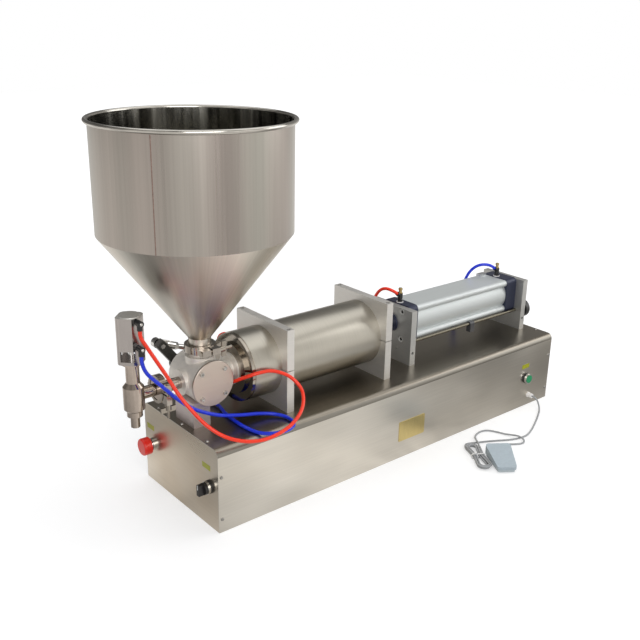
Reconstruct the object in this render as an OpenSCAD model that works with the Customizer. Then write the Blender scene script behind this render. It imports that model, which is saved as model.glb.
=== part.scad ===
// Pneumatic piston filler for paste: a sheet steel base carries a filling
// cylinder and an air cylinder on one axis, a rotary valve under a hopper, and
// a shut-off nozzle. Origin: centre of the base's underside, +X away from the
// nozzle, +Y away from the operator, +Z up. Millimetres.

/* [Base] */
// Length of the base box
base_l = 1100; // [1060:10:1200]
// Depth of the base box, front to back
base_w = 300; // [290:5:360]
// Height of the base box
base_h = 190; // [170:5:240]
// Thickness of the bent stainless sheet
sheet_t = 2; // [1.5:0.5:3]
// Outer bend radius of the long top edges
edge_r = 15; // [6:1:18]
// Width of the return flanges on the end panels
flange_w = 20; // [16:1:26]
// Thickness of the floor plate
floor_t = 3; // [2:0.5:5]
// Thread diameter of the cover screws
cover_screw_d = 5; // [4:1:6]
// Length of the brass rating plate
plate_l = 87; // [60:1:110]
// Height of the brass rating plate
plate_h = 52; // [35:1:65]

/* [Controls] */
// Diameter of the panel holes for switches
switch_hole_d = 22; // [20:1:24]
// Height of the end panel switches above the floor
switch_h = 96; // [80:1:110]
// Distance of the end panel switches from the base's sides
switch_inset = 33; // [28:1:45]
// Diameter of the stop button's mushroom head
stop_d = 40; // [34:1:44]
// Thickness of the stop button's mushroom head
stop_t = 19; // [14:1:22]
// Travel of the stop button
stop_travel = 5; // [3:1:6]
// Outer diameter of the switch bezels
bezel_d = 29; // [27:1:32]
// Thickness of a switch bezel
bezel_t = 6; // [4:1:8]
// Thickness of the black collar behind a bezel
collar_t = 5; // [3:1:7]
// Length of the selector's black grip
grip_l = 18; // [14:1:22]
// Diameter of the start button's green face
start_d = 22; // [18:1:24]
// Travel of the start button
start_travel = 3; // [2:0.5:4]
// Distance of the start button from the base's right end
start_inset = 100; // [80:5:120]
// Height of the start button above the floor
start_h = 84; // [70:1:110]
// Diameter of the white cable gland
gland_d = 15; // [14:1:20]
// Length of the cable gland outside the sheet
gland_l = 15; // [12:1:20]
// Distance of the cable gland from the start button, along the base
gland_side = 16; // [10:1:24]
// Height of the cable gland above the floor
gland_h = 30; // [24:1:40]

/* [Clamp plates] */
// Height of the cylinder axis above the base
axis_h = 97.5; // [92:0.5:110]
// Width of the split clamp plates
clamp_w = 190; // [186:1:210]
// Height of the split clamp plates
clamp_h = 192; // [186:1:205]
// Thickness of the split clamp plates
clamp_t = 19; // [16:1:24]
// Gap between the two halves of a clamp plate
clamp_gap = 2; // [0.5:0.5:3]
// Thread diameter of the socket screws in all plates
bolt_d = 10; // [8:1:10]

/* [Filling cylinder] */
// Outer diameter of the filling cylinder
tube_d = 156; // [150:1:158]
// Wall of the filling cylinder
tube_wall = 3; // [2:0.5:4]
// Length of the filling cylinder
tube_l = 388; // [384:1:392]
// Working stroke of the pistons
stroke = 300; // [200:10:300]
// Thickness of the filling piston
piston_t = 40; // [30:1:44]
// Diameter of the piston rod
rod_d = 25; // [20:1:28]

/* [Air cylinder] */
// Width of the two air cylinder plates
air_plate_w = 142; // [136:1:170]
// Height of the two air cylinder plates
air_plate_h = 142; // [136:1:160]
// Thickness of the two air cylinder plates
air_plate_t = 18; // [14:1:20]
// Bore of the air cylinder
air_bore_d = 80; // [76:1:82]
// Side of the square end caps
cap_w = 94; // [92:1:100]
// Length of the front end cap
cap_front_l = 28; // [24:1:34]
// Length of the rear end cap
cap_rear_l = 39; // [34:1:42]
// Length of the barrel between the caps
barrel_l = 348.5; // [346:0.5:352]
// Thickness of the air piston
air_piston_t = 30; // [24:1:34]

/* [Stroke adjuster] */
// Diameter of the adjusting screw
adjuster_d = 8; // [6:1:8]
// Diameter of the hand wheel
wheel_d = 50; // [40:1:56]
// Thickness of the hand wheel's rim
wheel_t = 14; // [10:1:18]

/* [Valve] */
// Diameter of the valve drum and its front disc
drum_d = 100; // [96:1:104]
// Distance of the valve from the base's left end
valve_from_end = 59; // [56:1:64]
// Length of the valve drum, front to back
drum_l = 95; // [90:1:98]
// Thickness of the valve's front disc
disc_t = 5; // [4:1:7]
// Diameter of the rotor
rotor_d = 72; // [64:1:76]
// Diameter of the flow passages
port_d = 34; // [28:1:36]
// Diameter of the rotor's shaft
shaft_d = 20; // [16:1:22]
// Width of the support block under the drum
block_l = 41; // [34:1:44]
// Depth of the support block
block_w = 73; // [60:1:80]
// Height of the support block
block_h = 57; // [54:1:60]

/* [Valve drive] */
// Distance from the rotor axis to the crank pin
crank_r = 62; // [56:1:64]
// Width of the crank arm
crank_w = 21; // [18:1:24]
// Thickness of the crank arm
crank_t = 14; // [10:1:14]
// Distance from the drum to the crank arm
crank_gap = 40; // [40:1:46]
// Diameter of the small air cylinder
turner_d = 38; // [34:1:39]
// Length of the small air cylinder with its caps
turner_l = 162; // [156:1:168]
// Distance from the rotor axis to the tail pivot, along the base
tail_x = 271; // [266:1:276]
// Height of the tail pivot above the base
tail_h = 25; // [24:1:30]

/* [Hopper] */
// Diameter of the hopper's straight part
hopper_d = 394; // [360:2:410]
// Height of the hopper's rim above the floor
hopper_top = 830; // [780:2:840]
// Height of the hopper's straight part
hopper_straight = 224; // [200:2:240]
// Wall of the hopper
hopper_wall = 2; // [1.5:0.5:3]
// Diameter of the rolled bead on the rim
bead_d = 9; // [7:1:12]
// Outer diameter of the hopper's neck
neck_d = 48; // [46:1:50]

/* [Outlet and nozzle] */
// Outer diameter of the outlet pipe
pipe_d = 26; // [24:1:28]
// Wall of the outlet pipe
pipe_wall = 1.5; // [1:0.5:2.5]
// Diameter of the outlet's clamp ferrules
ferrule_d = 50; // [48:1:52]
// Thickness of one clamp ferrule
ferrule_t = 6; // [5:0.5:7]
// Distance from the valve to the nozzle's axis
nozzle_reach = 158; // [154:1:170]
// Diameter of the nozzle's body
nozzle_d = 43; // [40:1:46]
// Diameter of the nozzle's outlet tip
tip_d = 19; // [18:1:22]
// Bore of the nozzle's outlet tip
tip_bore_d = 14; // [10:1:14]
// Side of the nozzle's air cylinder
lifter_w = 48; // [44:1:50]

/* [Hoses and cable] */
// Outer diameter of the air hoses
hose_d = 8; // [6:0.5:8]
// Outer diameter of the hoses to the small air cylinder
thin_hose_d = 6; // [4:0.5:6]
// Outer diameter of the pedal's cable
cable_d = 4.5; // [4:0.5:5]

/* [Pedal] */
// Length of the pedal, heel to toe
pedal_l = 92; // [86:1:96]
// Width of the pedal at its hinge
pedal_w = 62; // [58:1:64]
// Width of the pedal at its toe
pedal_toe_w = 48; // [44:1:56]
// Height of the pedal at its hinge
pedal_h = 30; // [28:1:34]
// Height of the pedal at its toe
pedal_toe_h = 15; // [14:1:18]

/* [Hidden] */

$fn = 64;
// One overrun serves every cut
over = 1;
// Play of sliding and turning fits, on the radius
run_fit = 0.05;
// Play of pieces that are bolted or pressed together
seat_fit = 0.02;
// Space between neighbouring bodies that must not touch
body_gap = 0.3;
// Play of screws and necks in their holes, on the radius
hole_gap = 0.3;

half_l = base_l / 2;
axis_z = base_h + axis_h;
valve_x = valve_from_end - half_l;

// Places of the plates along the base, from the left end to their middles
front_clamp_from_end = 227;
clamp_spacing = 293;
coupling_room = 109.5;
tube_from_valve = 89;
front_clamp_x = front_clamp_from_end - half_l;
rear_clamp_x = front_clamp_x + clamp_spacing;
air_plate_x = rear_clamp_x + coupling_room;
cap_front_x = air_plate_x + air_plate_t / 2;
barrel_x = cap_front_x + cap_front_l;
cap_rear_x = barrel_x + barrel_l;
air_plate_rear_x = cap_rear_x + cap_rear_l + air_plate_t / 2;
tube_x = valve_x + tube_from_valve;

// Screws
head_share = 0.8;
socket_share = 0.42;
socket_depth_share = 0.55;
cover_screw_inset = 8;
cover_screw_zs = [31, 129];
cover_screw_y = 99;

// Switches
switch_y = base_w / 2 - switch_inset;
start_x = half_l - start_inset;
bezel_step = 0.5;
switch_barrel_l = 22;
switch_nut_t = 5;
switch_block_w = 24;
stop_neck_r = 9.5;
stop_neck_l = 10.5;
stop_stem_r = 4;
stop_edge = 4;
stem_r = 5;
grip_d = 26;
grip_w = 9;
grip_base_t = 6;

// Valves and regulator inside the base
block_at = [100, -30];
manifold = [120, 60, 30];
coil_w = 26;
coil_pitch = 36;

// Brass plate and its rivets
plate_t = 1;
plate_x = 8;
plate_z = 71;
rivet_d = 4;
rivet_t = 0.8;
rivet_inset = 5;

// Clamp plates and their screws
bolt_y = (clamp_w / 2 + tube_d / 2) / 2;
clamp_screw_d = 6;
clamp_seat = 14;
bolt_hold = 20;
cap_bolt = 36;
bolt_land = 7;

// Filling cylinder
tube_r = tube_d / 2;
bore_r = tube_r - tube_wall;
cover_t = 8;
cover_step_t = 7;
cover_step_d = 116;
cover_spigot_t = 6;
cover_x = tube_x - cover_t;
piston_rest_gap = 3;
piston_x = tube_x + cover_spigot_t + piston_rest_gap;
seal_w = 5;
seal_depth = 1.2;
rod_nut_d = 44;
rod_nut_t = 6;
rod_seat = 12;
rod_end_d = 16;
rod_end_nut_t = 7;

// Air cylinder
air_r = air_bore_d / 2;
barrel_wall = 4;
lobe_r = 9;
tie_r = 3.2;
cap_corner_r = 12;
cap_boss_d = 45;
cap_boss_l = 22.5;
air_piston_rest = 5;
air_piston_x = barrel_x + air_piston_rest;
port_front_inset = 9;
port_rear_inset = 8;
port_x_front = cap_front_x + port_front_inset;
port_x_rear = cap_rear_x + port_rear_inset;
side_hole_d = 7;
side_hole_depth = 20;
side_hole_z = 32;
face_hole_d = 4;
face_hole_y = 22;

// Stroke adjuster
adjuster_y = -50;
adjuster_drop = 44.5;
adjuster_z = axis_z - adjuster_drop;
adjuster_seat = 10;
adjuster_x = cap_front_x - adjuster_seat;
wheel_gap = 3;
wheel_x = air_plate_rear_x + air_plate_t / 2 + wheel_gap;
wheel_hub_d = 24;
wheel_web_t = 6;
slider_rest = 202.5;
slider_x = barrel_x + slider_rest;
slider_l = 16;
slider_w = 14;
slider_h = 22;
slider_collar_r = 6.5;
sensor_l = 26;
sensor_gap = 1;
sensor_x = cap_rear_x - sensor_l - sensor_gap;
sensor_w = 14;
sensor_h = 14;

// Valve
drum_r = drum_d / 2;
drum_shift = 2.5;
drum_step = 1.5;
drum_front = -drum_l / 2 + drum_shift;
drum_back = drum_front + drum_l;
drum_body_r = drum_r - drum_step;
drum_flange_t = 7;
drum_rear_t = 10;
disc_screw_r = 39.5;
disc_screw_d = 6;
disc_screw_l = 14;
rotor_gap = 1;
rotor_front = drum_front + rotor_gap;
rotor_back = drum_back - drum_rear_t - rotor_gap;
side_neck_d = 44;
side_flange_d = 72;
side_flange_t = 4;
left_boss_d = 56;
left_boss_x = 54;
top_boss_d = 64;
top_boss_z = 52;
valve_neck_top = 62;
block_from_end = 16;
block_x = block_from_end - half_l;
gasket_t = 0.5;
disc_edge = 1;
side_face = tube_x - cover_t - cover_step_t - valve_x;
left_wall_t = 6;
ferrule_z = axis_z + valve_neck_top;
hopper_ferrule_t = 6.5;
hopper_z = ferrule_z + hopper_ferrule_t + gasket_t;
hopper_ferrule_w = 4;
hopper_ferrule_d = neck_d + 2 * hopper_ferrule_w;

// Crank: it stands at this angle at rest and turns a quarter turn towards the hopper's far side
crank_rest = 128;
crank_y = drum_back + crank_gap;
crank_end = 10;
crank_hub_d = 34;
pin_d = 8;
pin_head_d = 11;
pin_head_t = 3;
eye_gap = 12;
turner_y = crank_y + crank_t + eye_gap;
eye_t = 14;
eye_d = 22;
spacer_d = 12;
tail_z = base_h + tail_h;
tail_px = valve_x + tail_x;
pin_x = valve_x + crank_r * cos(crank_rest);
pin_z = axis_z + crank_r * sin(crank_rest);
turner_span = norm([tail_px - pin_x, tail_z - pin_z]);
turner_tilt = atan2(pin_z - tail_z, tail_px - pin_x);
turner_start = 22;
turner_cap_l = 25;
turner_step = 2;
turner_barrel_d = turner_d - 2 * turner_step;
turner_rod_d = 12;
turner_piston_t = 14;
turner_bore_r = 15;
turner_end_t = 9;
rod_play = 1;
knuckle_r = 9;
ear_play = 0.5;
pin_out = 3;
knuckle_l = 44;
knuckle_share = 0.7;
knuckle_nut_t = 9;
ear_t = 8;
ear_w = 22;
bracket_l = 50;
bracket_t = 6;
tongue_t = 14;

// Hopper
hopper_r = hopper_d / 2;
cone_top = hopper_top - hopper_straight;
neck_r = neck_d / 2;
neck_h = 22;
cone_foot = hopper_z + neck_h;
bead_r = bead_d / 2;

// Clamp rings with a swing bolt
ring_wall = 5;
ring_lip = 1.4;
ring_slit = 2;
lug_w = 20;
lug_l = 14;
lug_gap = 4;
swing_d = 7;
swing_l = 75;
swing_head_t = 3;
nut_d = 13;
nut_t = 12;
wing_l = 11;
wing_t = 3.5;
wing_h = 17;

// Outlet and nozzle
pipe_r = pipe_d / 2;
nozzle_x = valve_x - nozzle_reach;
outlet_reach = 102;
nozzle_drop = 32.5;
nozzle_rise = 20.5;
flange_rise = 70;
flange_t = 4;
cage_h = 29;
outlet_x = valve_x - outlet_reach;
nozzle_low = axis_z - nozzle_drop;
nozzle_high = axis_z + nozzle_rise;
nozzle_shoulder = 9;
nozzle_chamfer = 4;
nozzle_neck_d = 28;
flange_z = axis_z + flange_rise;
cage_z = flange_z + flange_t;
lifter_z = cage_z + cage_h;
lifter_h = 68;
lifter_round = 12;
lifter_flat = 25.5;
lifter_bore_d = 32;
lifter_wall = 6;
dome_h = 2;
step_d = 32;
step_h = 12;
tip_h = 25;
tip_z = nozzle_low - step_h - tip_h;
seat_floor = 2;
seat_z = tip_z + tip_h + seat_floor;
chamber_d = 34;
chamber_floor = 4;
stem_d = 10;
plug_seat = 9;
stem_low = seat_z - plug_seat;
plug_h = 16;
stem_piston_t = 10;
stem_rest = 2;
stem_piston_z = lifter_z + lifter_wall + stem_rest;
window_w = 29;
post_wall = 4;
cage_foot = 7;
seat_d = 24;

// Push-in fittings
fit_r = 6.5;
fit_screw_h = 10;
fit_arm = 14;
fit_socket_share = 0.85;
fit_hex_share = 0.6;
fit_knob_d = 8;
fit_knob_h = 14;
fit_slant = 35;
socket_h = 14;
low_elbow_z = 6;
low_elbow_r = 5.8;
thin_fit_r = 5;
thin_fit_h = 9;
fit_flow_z = axis_z + cap_w / 2 + fit_screw_h + fit_r;
fit_front_y = -lifter_flat - fit_screw_h - fit_r;
port_high_inset = 5;
port_low_inset = 10;
lifter_port_high = lifter_z + lifter_h - port_high_inset;
lifter_port_low = lifter_z + port_low_inset;
turner_red_s = 175;
turner_blue_s = 34;

// Feet on the base's top below the valve, the two ports and the tail pivot: the hoses' routes and
// their bulkheads are typed from these
valve_foot = [valve_x, 0, base_h];
front_foot = [port_x_front, 0, base_h];
rear_foot = [port_x_rear, 0, base_h];
tail_foot = [tail_px, 0, base_h];
red_exit = valve_foot + [54, 64, 0];
blue_exit = valve_foot + [54, 40, 0];
red_loop_exit = front_foot + [-39.5, 90, 0];
blue_loop_exit = rear_foot + [-73, 78, 0];
turner_red_exit = tail_foot + [-128, 86, 0];
turner_blue_exit = tail_foot + [15, 86, 0];

// Routes of the hoses, middles of the tube, without their straight ends
red_run = [
    [-157.7, -42.2, 239], [-156.6, -42.8, 233.4], [-153.9, -44.5, 226.6], [-149.7, -46.9, 218],
    [-144.4, -50.1, 206.8], [-137.4, -54.2, 192.4], [-128.3, -59.6, 173.5], [-117.5, -66, 151],
    [-103, -82, 115], [-89, -103, 86], [-71, -134, 56], [-43, -158, 32], [-2, -172, 15],
    [45, -180, 10], [101, -178, 19], [148, -160, 38], [171, -131, 64], [158, -105, 91],
    [123, -92, 109], [91, -88, 112], [72, -78, 106.5], [60, -62, 97], [54, -45, 87], [51, -23, 78],
    [50, 2, 69], [50, 24, 60.5], [51.2, 40, 54.5], [52.2, 48.5, 50], [53.2, 57, 43],
    [53.8, 62.2, 34]];
blue_run = [
    [-157.9, -42, 186.5], [-157.3, -42.2, 181.4], [-156, -42.5, 174.8], [-153.3, -43.1, 166.5],
    [-148.1, -44.3, 156.5], [-138.9, -46.5, 145], [-126.2, -49.4, 130.9], [-111, -53, 114],
    [-82, -59, 82], [-46, -62, 54], [2, -66, 31], [51, -72, 19], [93, -78, 12], [123, -90, 7],
    [139, -112, 5], [139, -139, 5], [123, -163, 7], [97, -172, 8], [70, -164, 7], [51, -140, 4.5],
    [42, -100, 4.5], [42, -60, 4.5], [45, -25, 4.5], [50.5, 1, 5.5], [53.5, 14, 6]];
red_loop_run = [
    [-19.8, 0.4, 174.8], [-23.9, 2.4, 177.4], [-27.9, 6.6, 179.9], [-30.7, 12.3, 181.3],
    [-32.4, 19, 181.1], [-33.4, 26, 179.2], [-33.9, 33, 175.7], [-34, 40, 170.2],
    [-33.6, 47.1, 163], [-33.3, 54.5, 152], [-33.6, 61.5, 138], [-34.5, 68.5, 121],
    [-35.9, 76, 100], [-37.5, 83, 76], [-38.9, 88, 52], [-39.5, 90, 35]];
blue_loop_run = [
    [-19.8, 0.3, 174.8], [-24.3, 1.7, 177.5], [-30, 4.8, 179.8], [-36.1, 9.2, 181.2],
    [-42.1, 14.4, 181.3], [-47.8, 20.2, 179.8], [-52.8, 26.5, 176.6], [-57.3, 32.8, 171.2],
    [-61.4, 39.6, 163], [-64.6, 46.1, 152], [-67, 51.8, 138], [-68.5, 57.8, 120],
    [-70, 64, 98], [-71.5, 70.5, 74], [-72.6, 75.8, 50], [-73, 77.7, 38]];
turner_red_run = [
    [-149.3, 115.8, 123.4], [-146.7, 114.6, 127.3], [-142.5, 111.8, 130.6], [-137.4, 107.8, 132],
    [-132.2, 103.1, 130.7], [-127.7, 98.6, 126.4], [-124.3, 94.6, 119.5], [-122.1, 91.2, 109.5],
    [-121.3, 88.7, 96], [-122.3, 87.2, 78], [-125.5, 86.2, 58], [-128, 86, 40]];
turner_blue_run = [
    [-18.2, 115.8, 71.1], [-15.7, 114.6, 75], [-11.5, 111.8, 78.3], [-6.4, 107.8, 79.7],
    [-1.2, 103.1, 78.4], [3.7, 98.6, 73.9], [8, 94.3, 66], [11.7, 90.4, 55], [14.2, 87.5, 42],
    [15, 86, 28]];

// A hose leaves its first fitting straight and comes straight into its last one
lead_out = 3;
lead_in = 5;
function placed(foot, run) = [for (p = run) foot + p];
function routed(a, a_dir, foot, run, b, b_dir) = concat(
    [a, a + lead_out * a_dir, a + 2 * lead_out * a_dir], placed(foot, run),
    [b + 2 * lead_in * b_dir, b + lead_in * b_dir, b]);
function socket_top(p) = p + [0, 0, socket_h];
up = [0, 0, 1];
front = [0, -1, 0];
red_route = routed(
    [nozzle_x, fit_front_y, lifter_port_high - fit_arm], -up, valve_foot, red_run,
    socket_top(red_exit), up);
blue_route = routed(
    [nozzle_x, fit_front_y, lifter_port_low - fit_arm], -up, valve_foot, blue_run,
    blue_exit + [0, 0, low_elbow_z], front);
flow_way = [-cos(fit_slant), 0, sin(fit_slant)];
red_loop = routed(
    [port_x_front, 0, fit_flow_z] + fit_arm * flow_way, flow_way, front_foot, red_loop_run,
    socket_top(red_loop_exit), up);
blue_loop = routed(
    [port_x_rear, 0, fit_flow_z] + fit_arm * flow_way, flow_way, rear_foot, blue_loop_run,
    socket_top(blue_loop_exit), up);
turner_up = [sin(turner_tilt), 0, cos(turner_tilt)];
function turner_port(s) = [
    tail_px - s * cos(turner_tilt) + (turner_d / 2 + thin_fit_h) * sin(turner_tilt), turner_y,
    tail_z + s * sin(turner_tilt) + (turner_d / 2 + thin_fit_h) * cos(turner_tilt)];
turner_red = routed(
    turner_port(turner_red_s), turner_up, tail_foot, turner_red_run,
    socket_top(turner_red_exit), up);
turner_blue = routed(
    turner_port(turner_blue_s), turner_up, tail_foot, turner_blue_run,
    socket_top(turner_blue_exit), up);

// Route of the pedal's cable: its drop from the gland, then over the floor to the hank and from the
// hank to the pedal
cable_drop = [[0, -9, -1], [0, -19, -7], [-2, -27, -18], [-8, -34, -26]];
cable_in = [
    [444, -208, 2.5], [405, -230, 2.5], [350, -257, 2.5], [312, -270, 2.5], [282, -268, 2.5],
    [254, -258, 2.5], [226, -242, 2.5], [202, -229, 2.5], [180, -219, 2.5], [164, -211, 2.5],
    [152, -207, 2.5], [143, -210, 3]];
cable_out = [
    [171, -227, 8.4], [178, -216, 8], [185, -207, 6.5], [194, -198, 4], [206, -190, 2.5],
    [222, -185, 2.5], [240, -185, 2.5],
    [254, -194, 2.5], [264, -212, 2.5], [271, -232, 3], [277, -250, 5.5], [281, -266, 8],
    [282, -280, 6], [276, -289, 3], [263, -290, 2.5], [246, -281, 2.5], [230, -269, 2.5],
    [214, -259, 2.5], [202, -256, 3], [192, -260, 5]];

// Hank of spare cable: loops laid spirally in two layers, drawn in at the waist
hank_c = [122, -269.5];
hank_turn = 60;
hank_loops = 4;
hank_rings = 24;
hank_half = 42;
hank_inner = 8;
hank_step = 5.2;
hank_layer = 5.1;
hank_low = 3.5;
hank_draw = 5;
hank_sides = 6;
hank_start = 8;
tie_w = 4;
tie_t = 1;
tie_gap = 0.15;

// Pedal
pedal_c = [148, -322];
pedal_turn = 55;
pedal_corner_r = 8;
pedal_floor_t = 3;
pedal_tray_h = 8;
pedal_skirt_z = 7;
pedal_shell = 2.5;
pedal_gap = 0.7;
pedal_pin_r = 2.5;
pedal_pin_inset = 9;
pedal_pin_z = 14;
pedal_pin_l = 57;
pedal_block_l = 14;
pedal_block_h = 20;
pedal_block_gap = 1.2;
pedal_boss_l = 10;
pedal_boss_d = 9;
pedal_boss_z = 9;
pedal_switch = [20, 14, 9];
pedal_ends = 32;

// Tube along a route
tube_sides = 8;
function unit(v) = v / norm(v);
function cat(a, b, c, d, t) = 0.5 * ((2 * b) + (c - a) * t + (2 * a - 5 * b + 4 * c - d) * t * t
    + (3 * b - a - 3 * c + d) * t * t * t);
function smooth(p, n) = [
    for (i = [0 : len(p) - 2], j = [0 : n - 1])
        cat(p[max(i - 1, 0)], p[i], p[i + 1], p[min(i + 2, len(p) - 1)], j / n),
    p[len(p) - 1]];
function along(p, i) = unit(p[min(i + 1, len(p) - 1)] - p[max(i - 1, 0)]);
function across(t) = unit(cross(t, abs(t[2]) < 0.9 ? [0, 0, 1] : [1, 0, 0]));
function carried(n, t) = unit(n - (n * t) * t);
function frames(p) = [
    for (i = 0, n = across(along(p, 0)); i < len(p);
         i = i + 1, n = i < len(p) ? carried(n, along(p, i)) : n) n];
function run_length(p) = len(p) < 2 ? 0 : [for (i = [1 : len(p) - 1]) norm(p[i] - p[i - 1])]
    * [for (i = [1 : len(p) - 1]) 1];

module sweep(p, r, sides) {
    n = frames(p);
    rings = [
        for (i = [0 : len(p) - 1], k = [0 : sides - 1])
            p[i] + r * (cos(360 * k / sides) * n[i] + sin(360 * k / sides) * cross(along(p, i), n[i]))];
    last = (len(p) - 1) * sides;
    walls = [
        for (i = [0 : len(p) - 2], k = [0 : sides - 1], h = [0, 1])
            let (a = i * sides + k, b = i * sides + (k + 1) % sides)
                h == 0 ? [a, a + sides, b] : [b, a + sides, b + sides]];
    ends = [
        for (k = [1 : sides - 2], h = [0, 1])
            h == 0 ? [0, k, k + 1] : [last, last + k + 1, last + k]];
    polyhedron(points = rings, faces = concat(walls, ends), convexity = 6);
}

// Bars and discs along the three axes
module rod_x(r, l) rotate([0, 90, 0]) cylinder(r = r, h = l);
module rod_y(r, l) rotate([-90, 0, 0]) cylinder(r = r, h = l);

// Flat outline with rounded corners, centred
module rounded(w, h, r) {
    square([w - 2 * r, h], center = true);
    square([w, h - 2 * r], center = true);
    for (x = [-1, 1], y = [-1, 1])
        translate([x * (w / 2 - r), y * (h / 2 - r)]) circle(r = r);
}

// Outline of the bent cover: flat at the foot, rounded at the top
module cover_outline(w, h, r) {
    translate([-w / 2, 0]) square([w, h - r]);
    translate([-w / 2 + r, 0]) square([w - 2 * r, h]);
    for (s = [-1, 1])
        translate([s * (w / 2 - r), h - r]) circle(r = r);
}

// Socket head screw, head above zero and shank below
module socket_screw(d, l) {
    difference() {
        cylinder(r = d * head_share, h = d);
        translate([0, 0, d * (1 - socket_depth_share)])
            cylinder(r = d * socket_share, h = d, $fn = 6);
    }
    translate([0, 0, -l]) cylinder(r = d / 2, h = l);
}

// Pan head screw, head above zero and shank below
module pan_screw(d, l) {
    cylinder(r1 = d * head_share, r2 = d / 2, h = d / 2);
    translate([0, 0, -l]) cylinder(r = d / 2 - hole_gap, h = l);
}

module in_section(l) rotate([90, 0, 90]) linear_extrude(height = l) children();

// Places of the screws that hold the cover to the end panels
module at_cover_screws() {
    for (sx = [-1, 1], sy = [-1, 1], z = cover_screw_zs)
        translate([sx * (half_l - cover_screw_inset), sy * base_w / 2, z])
            rotate([-sy * 90, 0, 0]) children();
    for (sx = [-1, 1], y = [-cover_screw_y, 0, cover_screw_y])
        translate([sx * (half_l - cover_screw_inset), y, base_h]) children();
}

module base_cover() {
    color([0.66, 0.64, 0.6]) difference() {
        translate([-half_l, 0, 0]) in_section(base_l) cover_outline(base_w, base_h, edge_r);
        translate([-half_l - over, 0, -over]) in_section(base_l + 2 * over)
            cover_outline(base_w - 2 * sheet_t, base_h - sheet_t + over, edge_r - sheet_t);
        at_cover_screws() translate([0, 0, -sheet_t - over])
            cylinder(r = cover_screw_d / 2, h = sheet_t + 2 * over);
        translate([start_x, -base_w / 2 - over, start_h])
            rod_y(switch_hole_d / 2, sheet_t + 2 * over);
        translate([start_x + gland_side, -base_w / 2 - over, gland_h])
            rod_y(gland_d / 3 + hole_gap, sheet_t + 2 * over);
    }
}

// Sheet end panel with return flanges, its outer face at zero and its flanges towards +X
module end_panel(holes) {
    w = base_w - 2 * sheet_t - 2 * seat_fit;
    h = base_h - sheet_t - seat_fit;
    r = edge_r - sheet_t;
    difference() {
        in_section(flange_w) cover_outline(w, h, r);
        translate([sheet_t, 0, -over]) in_section(flange_w)
            cover_outline(w - 2 * sheet_t, h - sheet_t + over, r - sheet_t);
        for (y = holes)
            translate([-over, y, switch_h]) rod_x(switch_hole_d / 2, sheet_t + 2 * over);
        translate([sheet_t, -base_w / 2, -over]) cube([flange_w, base_w, floor_t + over + seat_fit]);
        for (s = [-1, 1], z = cover_screw_zs)
            translate([cover_screw_inset, s * (w / 2 - sheet_t / 2), z])
                rotate([90, 0, 0]) cylinder(r = cover_screw_d / 2, h = sheet_t + 2 * over, center = true);
        for (y = [-cover_screw_y, 0, cover_screw_y])
            translate([cover_screw_inset, y, h - sheet_t - over])
                cylinder(r = cover_screw_d / 2, h = sheet_t + 2 * over);
    }
}

module end_panel_left() {
    color([0.64, 0.61, 0.57]) translate([-half_l, 0, 0]) end_panel([-switch_y, switch_y]);
}

module end_panel_right() {
    color([0.64, 0.61, 0.57]) translate([half_l, 0, 0]) rotate([0, 0, 180]) end_panel([-switch_y]);
}

module base_plate() {
    color([0.55, 0.55, 0.54])
        translate([-half_l + sheet_t + seat_fit, -base_w / 2 + sheet_t + seat_fit, 0])
            cube([base_l - 2 * (sheet_t + seat_fit), base_w - 2 * (sheet_t + seat_fit), floor_t]);
}

module cover_screws() {
    color([0.78, 0.77, 0.74]) at_cover_screws() pan_screw(cover_screw_d, 2 * sheet_t + over);
}

module nameplate() {
    color([0.78, 0.68, 0.38]) translate([plate_x, -base_w / 2, plate_z]) rotate([90, 0, 0]) {
        linear_extrude(height = plate_t) rounded(plate_l, plate_h, rivet_inset / 2);
        for (x = [-1, 1], y = [-1, 1])
            translate([x * (plate_l / 2 - rivet_inset), y * (plate_h / 2 - rivet_inset), 0])
                cylinder(r1 = rivet_d / 2, r2 = rivet_d / 4, h = plate_t + rivet_t);
    }
}

module cable_gland() {
    color([0.93, 0.93, 0.9])
        translate([start_x + gland_side, -base_w / 2, gland_h]) rotate([90, 0, 0]) {
            cylinder(r = gland_d / 2, h = gland_l / 4);
            cylinder(r = gland_d / 2 - sheet_t / 2, h = gland_l);
            translate([0, 0, -gland_l]) cylinder(r = gland_d / 3, h = gland_l + over);
        }
}

module air_inlet() {
    color([0.75, 0.62, 0.35]) translate([half_l, switch_y, switch_h]) difference() {
        union() {
            rod_x(switch_hole_d / 2 + sheet_t, 2 * sheet_t, $fn = 6);
            translate([-3 * sheet_t, 0, 0]) rod_x(switch_hole_d / 2 - hole_gap, 3 * sheet_t + over);
            translate([2 * sheet_t, 0, 0]) rod_x(fit_r, socket_h);
        }
        translate([-4 * sheet_t, 0, 0]) rod_x(hose_d / 2, socket_h + 8 * sheet_t);
    }
}

// Manifold with three solenoid valves and a pressure regulator, bolted to the floor plate
module air_valve_block() {
    color([0.6, 0.62, 0.64]) translate([block_at[0], block_at[1], floor_t]) {
        cube([manifold[0], manifold[1], manifold[2]]);
        for (i = [0 : 2]) {
            translate([coil_w / 2 + i * coil_pitch, over, manifold[2]])
                cube([coil_w, manifold[1] - 2 * over, coil_w]);
            translate([coil_w + i * coil_pitch, manifold[1], manifold[2] / 2]) rod_y(fit_r, socket_h);
        }
        translate([manifold[0], manifold[1] / 2, manifold[2] / 2]) rod_x(coil_w / 2, coil_pitch);
    }
}

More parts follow.
